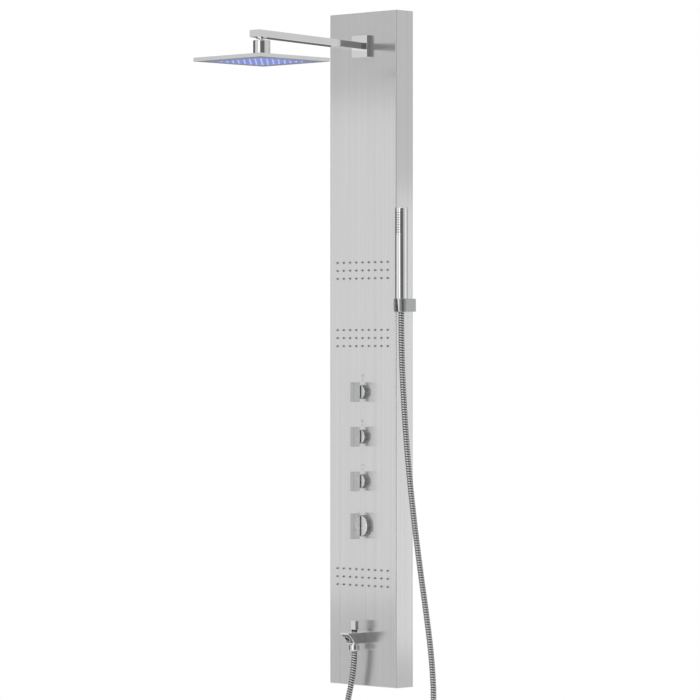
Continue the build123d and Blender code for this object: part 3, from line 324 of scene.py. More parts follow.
def lit_plate(look, nozzles):
    """Frosted plate with a lamp in the middle of every four nozzles."""
    mix, into = finish("lit_plate")
    x, y, _ = mix.axes(mix.place())
    lamp_pitch = 2 * nozzles.head_pitch
    head = middle_of("nozzle_plate")
    lamp_x = ((x - head.x) / lamp_pitch).fract() - 0.5
    lamp_y = ((y - head.y) / lamp_pitch).fract() - 0.5
    spread = (lamp_x * lamp_x + lamp_y * lamp_y) ** 0.5
    glow = mix.ramp(spread, (0.0, 1.0), (0.22, 0.62), (0.7, 0.3))
    frost = mix.noise(0.002, detail=3)
    into("Base Color", mix.blend(frost, (0.13, 0.17, 0.42, 1), (0.18, 0.22, 0.48, 1)))
    into("Roughness", 0.28 + frost * 0.12)
    into("Emission Color", mix.blend(glow, *glow_range(look)))
    into("Emission Strength", look.glow_strength)


def clear_silicone(look):
    """Nozzles of the rain head, with a painted glow at half the strength of the plate's light."""
    mix, into = finish("clear_silicone")
    frost = mix.noise(0.001, detail=2)
    into("Base Color", mix.blend(frost, (0.42, 0.5, 0.75, 1), (0.52, 0.6, 0.85, 1)))
    into("Roughness", 0.32 + frost * 0.12)
    # Painted light: the nozzles glow, though they are no lamps.
    into("Emission Color", mix.blend(frost, *glow_range(look)))
    into("Emission Strength", look.glow_strength * 0.5)


def jet_silicone():
    """Pale mats and collars with dark tips."""
    mix, into = finish("jet_silicone")
    _, y, _ = mix.axes(mix.place())
    tip = y < panel_front - 0.35 * MM
    dust = mix.noise(0.004, detail=3)
    into("Base Color", mix.blend(tip * 0.8 + dust * 0.2, grey(0.5), grey(0.1)))
    into("Roughness", 0.42 + dust * 0.15)


def rubber(name, low, high, rough):
    """Dusty, finely grained rubber between two greys."""
    mix, into = finish(name)
    grain = mix.noise(0.0005, detail=2)
    dust = mix.noise(0.012, detail=3, seed=(1, 4, 2))
    into("Base Color", mix.blend(dust, grey(low), grey(high)))
    into("Roughness", rough + grain * 0.15)
    into("Normal", mix.bump(grain, 0.00003, 0.3))


def plastic(name, low, high, rough):
    """Moulded plastic with faint flow marks between two colours."""
    mix, into = finish(name)
    flow = mix.noise((0.03, 0.03, 0.09), detail=2)
    grain = mix.noise(0.0008, detail=2, seed=(3, 3, 3))
    into("Base Color", mix.blend(flow * 0.7 + grain * 0.3, low, high))
    into("Roughness", rough + grain * 0.12)
    into("Normal", mix.bump(grain, 0.00002, 0.25))


def cast_brass():
    """Raw castings, elbows, nuts and cartridges."""
    mix, into = finish("cast_brass")
    cloud = mix.noise(0.018, detail=4, rough=0.6)
    grain = mix.noise(0.0009, detail=2, seed=(5, 1, 1))
    into("Base Color", mix.blend(cloud, (0.52, 0.36, 0.15, 1), (0.74, 0.56, 0.27, 1)))
    into("Metallic", 1.0)
    into("Roughness", 0.3 + cloud * 0.12 + grain * 0.08)
    into("Normal", mix.bump(grain, 0.00004, 0.4))


def zinc_steel():
    """Galvanised rails, brackets, nuts and screws."""
    mix, into = finish("zinc_steel")
    cloud = mix.noise(0.014, detail=4, rough=0.7)
    grain = mix.noise((0.001, 0.03, 0.001), detail=2, seed=(2, 6, 1))
    into("Base Color", mix.blend(cloud, grey(0.42, 0.01), grey(0.6, 0.01)))
    into("Metallic", 1.0)
    into("Roughness", 0.32 + cloud * 0.15 + grain * 0.06)


def light_board():
    """Green board with a grid of tracks."""
    mix, into = finish("light_board")
    per_metre, width = 160.0, 0.12
    x, y, _ = mix.axes(mix.place())
    track = ((x * per_metre).fract() < width) + ((y * per_metre).fract() < width)
    into("Base Color", mix.blend(track, (0.02, 0.12, 0.05, 1), (0.06, 0.3, 0.12, 1)))
    into("Roughness", 0.35 + mix.noise(0.002) * 0.15)


def printed_grey():
    """Ink of the marks by the handles."""
    mix, into = finish("printed_grey")
    ink = mix.noise(0.0006, detail=2)
    into("Base Color", mix.blend(ink, grey(0.2), grey(0.3)))
    into("Roughness", 0.5 + ink * 0.15)


def matt_floor(colour):
    """Pale floor with faint clouds."""
    mix, into = finish("floor")
    cloud = mix.noise(0.4)
    into("Base Color", mix.blend(cloud, opaque(colour), opaque(colour, 0.98)))
    into("Roughness", 0.8)


def make_finishes(look, nozzles):
    """All the finishes of the column."""
    brushed_steel(look)
    chrome()
    holder_chrome()
    # Rosette: painted light on its face, painted shade on its wall.
    shade_painted_chrome("rosette_chrome", "stop_1_rosette", 0.82, 0.12, metal=0.3, rough=0.24)
    # Blade: painted shade on its front face, painted light on its sides.
    shade_painted_chrome("blade_chrome", "stop_1_handle", 0.36, 0.72, metal=0.95, rough=0.08)
    hose_steel()
    border_steel()
    lit_plate(look, nozzles)
    clear_silicone(look)
    jet_silicone()
    # Painted shade, for the sheet in the spout's mouth.
    rubber("mouth_shade_grey", 0.1, 0.17, rough=0.5)
    rubber("black_rubber", 0.012, 0.03, rough=0.55)
    plastic("white_plastic", (0.7, 0.7, 0.67, 1), (0.8, 0.8, 0.78, 1), rough=0.38)
    plastic("tube_plastic", (0.56, 0.58, 0.6, 1), (0.68, 0.7, 0.72, 1), rough=0.33)
    cast_brass()
    zinc_steel()
    light_board()
    printed_grey()


# Modelling by hand, step by step.


def unpick():
    """Leaves edit mode and selects nothing."""
    if bpy.context.object and bpy.context.object.mode != "OBJECT":
        bpy.ops.object.mode_set(mode="OBJECT")
    bpy.ops.object.select_all(action="DESELECT")


def pick(*pieces):
    """Selects these pieces alone; the first is the active one."""
    unpick()
    for piece in pieces:
        piece.select_set(True)
    bpy.context.view_layer.objects.active = pieces[0]


def named(name):
    """The primitive that was just added, under its own name."""
    piece = bpy.context.object
    piece.name = piece.data.name = name
    return piece


def settle(piece, place=(0, 0, 0), turn=None):
    """Puts a piece in its place, with that place in its mesh."""
    piece.location = place
    if turn is not None:
        piece.rotation_euler = turn
    pick(piece)
    bpy.ops.object.transform_apply(location=True, rotation=True, scale=True)
    return piece


def apply(piece, kind, **settings):
    """Adds a modifier and applies it."""
    step = piece.modifiers.new(kind.lower(), kind)
    for key, value in settings.items():
        setattr(step, key, value)
    pick(piece)
    bpy.ops.object.modifier_apply(modifier=step.name)
    return piece


def soften(piece, edge, steps=3, sharp=35):
    """Rounds the sharp edges."""
    return apply(piece, "BEVEL", width=edge, segments=steps, limit_method="ANGLE",
                 angle_limit=radians(sharp))


def tidy(piece):
    """Merges doubles and turns all faces outwards."""
    pick(piece)
    bpy.ops.object.mode_set(mode="EDIT")
    bpy.ops.mesh.select_all(action="SELECT")
    bpy.ops.mesh.remove_doubles(threshold=0.000002)
    bpy.ops.mesh.normals_make_consistent(inside=False)
    bpy.ops.object.mode_set(mode="OBJECT")
    return piece


def turned(name, profile, sides=40, loop=False):
    """A lathe piece round Z: a circle, extruded and scaled along steps of (radius, height) in mm."""
    steps = [(radius * MM, height * MM) for radius, height in profile]
    unpick()
    bpy.ops.mesh.primitive_circle_add(
        vertices=sides, radius=steps[0][0], location=(0, 0, 0),
        fill_type="NOTHING" if loop else "NGON",
    )
    piece = named(name)
    bpy.ops.object.mode_set(mode="EDIT")
    bpy.ops.mesh.select_all(action="SELECT")
    bpy.ops.transform.translate(value=(0, 0, steps[0][1]))
    if loop:
        steps = steps + steps[:1]
    for (radius, height), (wide, high) in zip(steps, steps[1:]):
        move = {"value": (0, 0, high - height)}
        if loop:
            bpy.ops.mesh.extrude_edges_move(TRANSFORM_OT_translate=move)
        else:
            bpy.ops.mesh.extrude_region_move(TRANSFORM_OT_translate=move)
        if wide != radius:
            share = wide / radius
            bpy.ops.transform.resize(value=(share, share, 1), center_override=(0, 0, high))
    bpy.ops.object.mode_set(mode="OBJECT")
    return tidy(piece)


def block(name, low, high, edge, steps=3):
    """A box from corner to corner with rounded edges."""
    low, high = Vector(low), Vector(high)
    unpick()
    bpy.ops.mesh.primitive_cube_add(size=1, location=(low + high) / 2, scale=high - low)
    piece = settle(named(name), (low + high) / 2)
    return soften(piece, edge, steps)


def slab(name, outline, thickness):
    """A flat outline in XY, extruded along Z: a filled circle whose corners move to the outline."""
    unpick()
    bpy.ops.mesh.primitive_circle_add(vertices=len(outline), radius=1, fill_type="NGON")
    piece = named(name)
    for corner, (a, b) in zip(piece.data.vertices, outline):
        corner.co = (a, b, 0)
    bpy.ops.object.mode_set(mode="EDIT")
    bpy.ops.mesh.select_all(action="SELECT")
    bpy.ops.mesh.extrude_region_move(TRANSFORM_OT_translate={"value": (0, 0, thickness)})
    bpy.ops.object.mode_set(mode="OBJECT")
    return tidy(piece)


def rounded_copy(node, name, edge, steps=2, sharp=35):
    """A copy of a solid with its flat faces joined up and its sharp edges rounded."""
    source = nodes[node]
    piece = bpy.data.objects.new(name, source.data.copy())
    bpy.context.scene.collection.objects.link(piece)
    piece.data.name = name
    pick(piece)
    bpy.ops.mesh.customdata_custom_splitnormals_clear()
    bpy.ops.object.mode_set(mode="EDIT")
    bpy.ops.mesh.select_all(action="SELECT")
    bpy.ops.mesh.remove_doubles(threshold=0.000002)
    bpy.ops.mesh.dissolve_limited(angle_limit=radians(1))
    bpy.ops.object.mode_set(mode="OBJECT")
    return soften(piece, edge, steps, sharp)


def row(piece, count, step):
    """Repeats a piece along a step."""
    return apply(piece, "ARRAY", count=count, use_relative_offset=False, use_constant_offset=True,
                 constant_offset_displace=step)


def joined(*pieces):
    """One piece made of several."""
    pick(*pieces)
    bpy.ops.object.join()
    return bpy.context.object


def dress(piece, look, slot, body, *stands_for, smooth=35):
    """Gives a piece its finish, its body and the solids it stands for."""
    pick(piece)
    bpy.ops.object.shade_smooth_by_angle(angle=radians(smooth))
    apply(piece, "WEIGHTED_NORMAL", keep_sharp=True, weight=60)
    piece.data.materials.clear()
    piece.data.materials.append(finishes[look])
    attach(piece, body)
    if stands_for:
        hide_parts(*stands_for)
    return piece


def paint(look, *names):
    """Gives solids that stay as they are a finish."""
    for name in names:
        nodes[name].data.materials.clear()
        nodes[name].data.materials.append(finishes[look])


# Sizes and colours that a user would change.


class LookSettings(bpy.types.PropertyGroup):
    """Colours and tones of the casing and of the rain head's light"""

    steel_colour: FloatVectorProperty(
        name="Steel", description="Colour of the brushed casing", subtype="COLOR",
        default=(0.675, 0.675, 0.677), min=0, max=1)
    steel_depth: FloatProperty(
        name="Grain depth", description="Tone of the darkest hairline against the lightest",
        subtype="FACTOR", default=0.79, min=0, max=1)
    steel_rough: FloatProperty(
        name="Steel roughness", description="Roughness of the brushed casing before its grain",
        subtype="FACTOR", default=0.15, min=0, max=1)
    glow_colour: FloatVectorProperty(
        name="Light", description="Colour of the lit plate", subtype="COLOR",
        default=(0.2, 0.25, 0.66), min=0, max=1)
    glow_strength: FloatProperty(
        name="Light strength", description="Strength of the lit plate's light", default=0.47, min=0)


class NozzleSettings(bpy.types.PropertyGroup):
    """Numbers and distances of the nozzles"""

    sides: IntProperty(
        name="Sides", description="Sides of each nozzle", default=14, min=6)
    jet_columns: IntProperty(
        name="Jet columns", description="Nozzles across one field", default=9, min=1)
    jet_rows: IntProperty(
        name="Jet rows", description="Nozzles up one field", default=3, min=1)
    jet_pitch_x: FloatProperty(
        name="Jet pitch across", description="Distance of jets across", unit="LENGTH", default=0.019)
    jet_pitch_z: FloatProperty(
        name="Jet pitch up", description="Distance of jets up", unit="LENGTH", default=0.0173)
    head_count: IntProperty(
        name="Head nozzles", description="Nozzles along one side of the rain head", default=8, min=1)
    head_pitch: FloatProperty(
        name="Head pitch", description="Distance of the head's nozzles", unit="LENGTH", default=0.017)
    spray_columns: IntProperty(
        name="Spray columns", description="Nozzles across the handset's strip", default=4, min=2)
    spray_rows: IntProperty(
        name="Spray rows", description="Nozzles up the handset's strip", default=9, min=2)
    spray_margin: FloatProperty(
        name="Spray margin", description="End of the strip to its first nozzle", unit="LENGTH",
        default=0.005)


class MetalSettings(bpy.types.PropertyGroup):
    """Small sizes of the metal pieces and the print"""

    blade_edge: FloatProperty(
        name="Blade edge", description="Rounding of the blade handles", unit="LENGTH", default=0.0009)
    flat_edge: FloatProperty(
        name="Flat edge", description="Rounding of arm, flange, head and bracket", unit="LENGTH",
        default=0.0005)
    spout_hollow: FloatProperty(
        name="Spout hollow", description="How far the spout's mouth is hollowed", unit="LENGTH",
        default=0.0022)
    print_depth: FloatProperty(
        name="Print", description="Thickness of the printed marks", unit="LENGTH", default=0.00012)


class HoseSettings(bpy.types.PropertyGroup):
    """Size and winding of the hose"""

    radius: FloatProperty(
        name="Radius", description="Outside radius of the hose", unit="LENGTH", default=0.0065)
    groove: FloatProperty(
        name="Groove", description="Depth of the groove between two ribs", unit="LENGTH",
        default=0.0012)
    pitch: FloatProperty(
        name="Rib pitch", description="Distance from rib to rib", unit="LENGTH", default=0.0053)
    sides: IntProperty(name="Sides", description="Sides of the hose", default=20, min=8)


class StageSettings(bpy.types.PropertyGroup):
    """Camera and floor"""

    camera_place: FloatVectorProperty(
        name="Camera", description="Place of the camera", subtype="TRANSLATION",
        default=(5.9221, -6.0212, -0.0171))
    camera_turn: FloatProperty(
        name="Turn", description="Turn of the camera round the column", subtype="ANGLE",
        default=radians(44.524))
    lens: FloatProperty(name="Lens", description="Focal length in millimetres", default=200.73)
    shift: FloatVectorProperty(
        name="Shift", description="Shift of the frame", size=2, default=(-0.0424, 0.01))
    floor_colour: FloatVectorProperty(
        name="Floor", description="Colour of the floor", subtype="COLOR", default=(0.86, 0.86, 0.86))
    floor_drop: FloatProperty(
        name="Floor drop", description="Floor under the lowest point of the hose", unit="LENGTH",
        default=0.06)


# Operators: one for each group of pieces.


class SHOWER_OT_casing(bpy.types.Operator):
    """Folded steel casing, its hanging brackets and the marks printed by the handles"""

    bl_idname = "shower.casing"
    bl_label = "Casing"

    def execute(self, context):
        paint("brushed_steel", "panel_shell")
        paint("zinc_steel", "hook_rails", "wall_brackets", "box_nuts", "bracket_screws")
        depth = context.scene.shower_metal.print_depth
        marks = []

        def bar(spot, x, z, wide, high):
            """A bar whose sizes and distances from a spot on the casing are in millimetres."""
            middle = spot + Vector((x, 0, z)) * MM
            half = Vector((wide / 2 * MM, depth, high / 2 * MM))
            marks.append(block("mark", middle - half, middle + half, depth / 3, 1))

        def ring(spot, x, z, radius, wide, start=0, sweep=359.9):
            """An arc, in millimetres and degrees; a full ring stays open by a hair."""
            count = 28
            outer = [(radius + wide / 2, start + sweep * i / count) for i in range(count + 1)]
            inner = [(radius - wide / 2, angle) for _, angle in reversed(outer)]
            outline = [(r * MM * cos(radians(a)), r * MM * sin(radians(a))) for r, a in outer + inner]
            mark = slab("mark", outline, 2 * depth)
            marks.append(settle(mark, spot + Vector((x * MM, depth, z * MM)), TO_FRONT))

        def middle(name):
            """Middle of a rosette on the casing's front."""
            return Vector((0, panel_front, middle_of(f"{name}_rosette").z))

        thin, bold = 0.7, 0.8
        tick_rise, sign_rise = 25.5, 33.5
        stops = [middle(f"stop_{i + 1}") for i in range(3)]
        for stop in stops:
            bar(stop, 0, tick_rise, 1.2, 4.2)
        rain, jets, bath = (stop + Vector((0, 0, sign_rise * MM)) for stop in stops)
        ring(rain, 0, 1.2, 3.4, thin, 0, 180)
        bar(rain, 0, 1.2, 7.6, thin)
        for x in (-2.4, 0, 2.4):
            bar(rain, x, -1.4, 0.6, 2.4)
        for z in (-2.2, 0, 2.2):
            bar(jets, 0.4, z, 5.6, thin)
        bar(jets, -3.4, 0, bold, 6.6)
        ring(bath, 0.6, -0.2, 3.0, bold, 0, 180)
        for x in (3.6, -2.4):
            bar(bath, x, -1.2, bold, 2.0)
        mixer = middle("mixer")
        dial = 30.5
        ring(mixer, 0, 0, dial, bold, 20, 50)
        ring(mixer, 0, 0, dial, bold, 110, 70)
        ring(mixer, -dial, -7.5, 2.6, bold)
        for z in (-3.5, -10.5):
            ring(mixer, dial + 0.7, z, 1.0, 1.8)
        dress(joined(*marks), "printed_grey", "soft_grey", "column").name = "printed_marks"
        return {"FINISHED"}


class SHOWER_OT_jets(bpy.types.Operator):
    """Three fields of soft body jets on their mats"""

    bl_idname = "shower.jets"
    bl_label = "Body jets"

    def execute(self, context):
        s = context.scene.shower_nozzles
        above_front = (
            (2.45, -1.8), (2.45, -0.03), (3.05, -0.03), (3.1, 0.1), (2.95, 0.2), (1.75, 0.3),
            (1.55, 2.7), (1.35, 3.15), (1.05, 3.3), (0.65, 3.1), (0.55, 2.2),
        )
        sheet, mat_edge = 0.0015, 0.0004
        first_x = -(s.jet_columns - 1) / 2 * s.jet_pitch_x
        for i in range(3):
            node = f"jet_mat_{i + 1}"
            low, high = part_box(node)
            mat = block(f"jets_{i + 1}", (low.x, panel_front + sheet, low.z), high, mat_edge, 2)
            first_z = middle_of(node).z - (s.jet_rows - 1) / 2 * s.jet_pitch_z
            jet = settle(turned("jet", above_front, s.sides), (first_x, panel_front, first_z), TO_FRONT)
            row(jet, s.jet_columns, (s.jet_pitch_x, 0, 0))
            row(jet, s.jet_rows, (0, 0, s.jet_pitch_z))
            dress(joined(mat, jet), "jet_silicone", "soft_grey", "column", node)
        return {"FINISHED"}


class SHOWER_OT_rain_arm(bpy.types.Operator):
    """Flat arm with its flange and the ball joint's neck"""

    bl_idname = "shower.rain_arm"
    bl_label = "Rain arm"

    def execute(self, context):
        edge = context.scene.shower_metal.flat_edge
        arm = rounded_copy("shower_arm", "arm_polished", edge)
        dress(arm, "chrome", "chrome", "column", "shower_arm")
        lap, flange_edge = 0.001, 0.0008
        low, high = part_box("arm_flange")
        flange = block("flange_polished", low, high + Vector((0, lap, 0)), flange_edge)
        dress(flange, "chrome", "chrome", "column", "arm_flange")
        paint("chrome", "swivel_ball")
        paint("white_plastic", "ball_retainer", "ball_seat")
        return {"FINISHED"}


class SHOWER_OT_rain_head(bpy.types.Operator):
    """Square rain head with its border, lit plate, nozzles and swivel nut"""

    bl_idname = "shower.rain_head"
    bl_label = "Rain head"

    def execute(self, context):
        s = context.scene.shower_nozzles
        edge = context.scene.shower_metal.flat_edge
        tray = rounded_copy("head_shell", "head_tray", edge)
        dress(tray, "chrome", "chrome", "rain_head", "head_shell")
        border = rounded_copy("head_frame", "head_border", edge / 2)
        dress(border, "border_steel", "head_border", "rain_head", "head_frame")
        underside, plate_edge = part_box("head_frame")[0].z, 0.0003
        low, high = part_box("nozzle_plate")
        plate = block("lit_plate", (low.x, low.y, underside), high, plate_edge, 2)
        dress(plate, "lit_plate", "lit_plate", "rain_head", "nozzle_plate")
        below_plate = (
            (2.5, -0.6), (2.5, 0.15), (2.2, 0.35), (1.8, 1.3), (1.5, 1.55), (1.1, 1.6), (0.7, 1.4),
            (0.6, 0.7),
        )
        middle = middle_of("nozzle_plate")
        first = (s.head_count - 1) / 2 * s.head_pitch
        corner = (middle.x - first, middle.y - first, underside)
        nozzle = settle(turned("rain_nozzles", below_plate, s.sides), corner, TO_FLOOR)
        row(nozzle, s.head_count, (s.head_pitch, 0, 0))
        row(nozzle, s.head_count, (0, s.head_pitch, 0))
        dress(nozzle, "clear_silicone", "lit_plate", "rain_head")
        nut_low, nut_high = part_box("swivel_nut")
        top = (nut_high.z - nut_low.z) / MM
        nut = turned("swivel_cap", (
            (18.0, 0.3), (18.0, top - 1.5), (17.75, top - 0.7), (17.2, top - 0.2), (16.5, top),
            (9.4, top), (9.0, top - 0.4), (9.0, top - 2.4), (13.1, top - 6.0), (13.1, top - 12.0),
            (15.6, top - 12.0), (15.6, 0.0), (17.7, 0.0),
        ), 56, loop=True)
        settle(nut, (middle.x, middle.y, nut_low.z))
        dress(nut, "chrome", "chrome", "rain_head", "swivel_nut")
        paint("light_board", "light_board")
        paint("white_plastic", "turbine_housing", "turbine_impeller")
        return {"FINISHED"}


class SHOWER_OT_controls(bpy.types.Operator):
    """Blade handles on their round rosettes: three stops and the mixer"""

    bl_idname = "shower.controls"
    bl_label = "Handles"

    def execute(self, context):
        for name, body in (("stop_1", "stop_lever_1"), ("stop_2", "stop_lever_2"),
                           ("stop_3", "stop_lever_3"), ("mixer", "mixer_lever")):
            self.collar(name)
            self.handle(name, body, context.scene.shower_metal.blade_edge)
        return {"FINISHED"}

    def collar(self, name):
        """Round rosette, open at its back."""
        node = f"{name}_rosette"
        centre, size = middle_of(node), size_of(node) / MM
        wide, face = size.x / 2, size.y
        hole, wall, skin = 4.5, 0.8, 2.2
        collar = turned(f"{name}_collar", (
            (wide, 0.0), (wide, face - 0.9), (wide - 0.15, face - 0.4), (wide - 0.5, face - 0.1),
            (wide - 1.0, face), (hole + 0.4, face), (hole, face - 0.3), (hole, face - skin),
            (wide - wall, face - skin), (wide - wall, 0.0),
        ), 64, loop=True)
        settle(collar, (centre.x, panel_front, centre.z), TO_FRONT)
        # The rosette's finish has painted light on its face and painted shade on its wall.
        dress(collar, "rosette_chrome", "chrome", "column", node)

    def handle(self, name, body, edge):
        """Blade with its stem, and a black pad of painted shade between blade and rosette."""
        rosette = f"{name}_rosette"
        centre, face = middle_of(rosette), panel_front - size_of(rosette).y
        low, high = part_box(f"{name}_handle")
        blade_depth = 0.021
        blade_back = low.y + blade_depth
        blade = block(f"{name}_blade", low, (high.x, blade_back, high.z), edge, 3)
        stem_radius, stem_lap = 3.5, 0.5
        stem = turned("stem", (
            (stem_radius, -high.y / MM), (stem_radius, -blade_back / MM + stem_lap),
        ), 24)
        settle(stem, (centre.x, 0, centre.z), TO_FRONT)
        # The blade's finish has painted shade on its front face and painted light on its sides.
        dress(joined(blade, stem), "blade_chrome", "chrome", body, f"{name}_handle")
        # Painted shade: a black pad fills the gap between blade and rosette, where there is only shade.
        lap, proud, gap, margin, shadow_pad_edge = 0.001, 0.0001, 0.00025, 0.0012, 0.0002
        reach = size_of(rosette).x / 2 - margin
        shadow_pad_low = (low.x - proud, blade_back - lap, centre.z - reach)
        shadow_pad_high = (high.x + proud, face - gap, centre.z + reach)
        shadow_pad = block(f"{name}_pad", shadow_pad_low, shadow_pad_high, shadow_pad_edge, 1)
        dress(shadow_pad, "black_rubber", "black_rubber", body)


class SHOWER_OT_bath_spout(bpy.types.Operator):
    """Bath spout with its hollow mouth, aerator, diverter and hose nut"""

    bl_idname = "shower.bath_spout"
    bl_label = "Bath spout"

    def execute(self, context):
        self.spout(context.scene.shower_metal.spout_hollow)
        self.diverter()
        self.union()
        return {"FINISHED"}

    def spout(self, hollow):
        """Bar with a slanted, hollowed mouth, a dark sheet of painted shade in the mouth, and the
        aerator in it.
        """
        low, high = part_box("spout_body")
        wide, centre = high.x - low.x, middle_of("spout_body").x
        tall, lip_drop, heel_reach = 0.024, 0.0026, 0.037
        top, bottom, lip = high.z, high.z - tall, high.z - lip_drop
        tip, heel = low.y, panel_front - heel_reach
        back = Vector((lip - bottom, tip - heel)).normalized()

        def curve(start, stop, count, shift=0.0):
            """Points in Y and Z along the mouth, between two shares of its length."""
            points = []
            for i in range(count):
                share = start + (stop - start) * i / (count - 1)
                sag = hollow * sin(pi * share) + shift
                points.append((tip + (heel - tip) * share + back.x * sag,
                               lip + (bottom - lip) * share - back.y * sag))
            return points

        root_lap, spout_edge = 0.0012, 0.001
        root = panel_front + root_lap
        bar = slab("spout", [(root, bottom), (root, top), (tip, top)] + curve(0, 1, 13), wide)
        settle(bar, (low.x, 0, 0), TO_SIDE)
        soften(bar, spout_edge, 3)
        stub = turned("stub", ((10.0, -27.5), (10.0, 0.5)), 32)
        settle(stub, (centre, panel_front, (top + bottom) / 2), TO_FRONT)
        outlet = middle_of("hose_nut")
        nipple = turned("nipple", ((8.0, -10.0), (8.0, 0.5)), 32)
        settle(nipple, (outlet.x, outlet.y, bottom))
        dress(joined(bar, stub, nipple), "chrome", "chrome", "column", "spout_body", smooth=40)
        # Painted shade: a dark sheet lines the hollow mouth where shade falls.
        inset, rim, proud, buried = 0.0022, 0.08, 0.00012, 0.0004
        sheet = curve(rim, 1 - rim, 11, -proud) + curve(1 - rim, rim, 11, buried)
        shade_sheet = slab("mouth_shade_sheet", sheet, wide - 2 * inset)
        settle(shade_sheet, (low.x + inset, 0, 0), TO_SIDE)
        dress(shade_sheet, "mouth_shade_grey", "black_rubber", "column")
        ring = turned("aerator_ring", (
            (7.9, -3.0), (7.9, -0.5), (7.6, 0.3), (7.0, 0.6), (6.4, 0.3), (6.2, -0.4), (6.2, -3.0),
        ), 40, loop=True)
        mesh = turned("aerator_mesh", ((6.3, -2.4), (6.3, -1.0), (0.9, -0.7)), 24)
        outwards = Vector((0, bottom - lip, tip - heel))
        turn = outwards.to_track_quat("Z", "X").to_euler()
        for piece in (ring, mesh):
            settle(piece, (centre, (tip + heel) / 2, (lip + bottom) / 2), turn)
        dress(ring, "chrome", "chrome", "column")
        dress(mesh, "black_rubber", "black_rubber", "column", "aerator")

    def diverter(self):
        """Pull knob on its rod, with a black ring of painted shade under it."""
        outlet = middle_of("hose_nut")
        low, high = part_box("diverter_knob")
        half_depth, knob_tall, knob_edge, shade_ring_drop = 0.005, 0.0195, 0.0008, 0.0235
        knob_low = (low.x, outlet.y - half_depth, high.z - knob_tall)
        knob = block("diverter_pull", knob_low, (high.x, outlet.y + half_depth, high.z), knob_edge, 3)
        rod = turned("rod", (
            (6.6, 0.0), (6.6, 4.0), (3.5, 4.0), (3.5, 21.2), (5.0, 21.2), (5.0, 26.0), (4.6, 26.4),
            (4.6, 27.2),
        ), 32)
        settle(rod, (outlet.x, outlet.y, low.z))
        dress(joined(knob, rod), "chrome", "chrome", "diverter", "diverter_knob")
        # Painted shade: a black ring under the knob stands in for the shade the knob casts on its rod.
        shade_ring = turned("diverter_shade_ring", ((6.2, 0.0), (6.2, 4.1), (3.0, 4.3)), 32)
        settle(shade_ring, (outlet.x, outlet.y, high.z - shade_ring_drop))
        dress(shade_ring, "black_rubber", "black_rubber", "diverter")
        paint("cast_brass", "diverter_bush")

    def union(self):
        """Nut that joins the hose to the spout."""
        outlet = middle_of("hose_nut")
        low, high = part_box("hose_nut")
        tall = (high.z - low.z) / MM
        nut = turned("hose_union", (
            (7.2, 0.0), (8.6, 0.0), (10.1, 0.6), (11.1, 1.7), (11.5, 3.1), (11.5, tall - 0.5),
            (11.2, tall), (8.1, tall), (8.1, 3.2), (7.2, 3.2),
        ), 48, loop=True)
        settle(nut, (outlet.x, outlet.y, low.z))
        dress(nut, "chrome", "chrome", "column", "hose_nut")


class SHOWER_OT_handset(bpy.types.Operator):
    """Stick handset with its spray strip, hose cone and bracket"""

    bl_idname = "shower.handset"
    bl_label = "Handset"

    def execute(self, context):
        edge = context.scene.shower_metal.flat_edge
        stick = rounded_copy("handset_body", "handset_stick", edge / 2, sharp=50)
        dress(stick, "chrome", "chrome", "handset", "handset_body")
        paint("chrome", "hose_cone")
        holder = rounded_copy("handset_bracket", "holder", edge, sharp=50)
        dress(holder, "holder_chrome", "chrome", "column", "handset_bracket")
        self.spray(context.scene.shower_nozzles)
        return {"FINISHED"}

    def spray(self, s):
        """Strip on the stick's round front, turned to the right, with rows of nozzles."""
        strip_turn, strip_half, nozzle_half = 24, 33, 25.5
        wall, strip_edge, count = 0.003, 0.0003, 20
        axis = middle_of("handset_body")
        wide = size_of("handset_body").x / 2
        low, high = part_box("handset_spray")
        tall = high.z - low.z
        sweep = [radians(-90 + strip_half * (2 * i / count - 1)) for i in range(count + 1)]
        arc = [(wide * cos(a), wide * sin(a)) for a in sweep]
        back = [((wide - wall) * cos(a), (wide - wall) * sin(a)) for a in reversed(sweep)]
        face = slab("spray_face", arc + back, tall)
        settle(face, (axis.x, axis.y, low.z), Euler((0, 0, radians(strip_turn))))
        dress(soften(face, strip_edge, 2), "chrome", "chrome", "handset")
        profile = ((1.15, -0.6), (1.1, 0.2), (0.9, 0.55), (0.6, 0.6), (0.25, 0.3))
        step = (0, 0, (tall - 2 * s.spray_margin) / (s.spray_rows - 1))
        rows = []
        for i in range(s.spray_columns):
            lean = radians(strip_turn + nozzle_half * (2 * i / (s.spray_columns - 1) - 1))
            spot = (axis.x + wide * sin(lean), axis.y - wide * cos(lean), low.z + s.spray_margin)
            nozzle = settle(turned("spray_nozzles", profile, 10), spot, Euler((radians(90), 0, lean)))
            rows.append(row(nozzle, s.spray_rows, step))
        dress(joined(*rows), "black_rubber", "soft_grey", "handset", "handset_spray")


# Route of the hose, from the handset's cone down in a loop and up to the spout.
HOSE_POINTS = (
    (0.116, -0.052, 0.08),
    (0.116, -0.052, 0.0),
    (0.124, -0.053, -0.11),
    (0.135, -0.0545, -0.215),
    (0.152, -0.056, -0.33),
    (0.174, -0.058, -0.45),
    (0.1975, -0.06, -0.56),
    (0.2165, -0.062, -0.66),
    (0.225, -0.064, -0.76),
    (0.205, -0.067, -0.878),
    (0.142, -0.071, -0.961),
    (0.048, -0.075, -0.968),
    (-0.02, -0.0765, -0.902),
    (-0.033, -0.077, -0.798),
    (0.0, -0.077, -0.69),
    (0.0, -0.077, -0.6488),
)


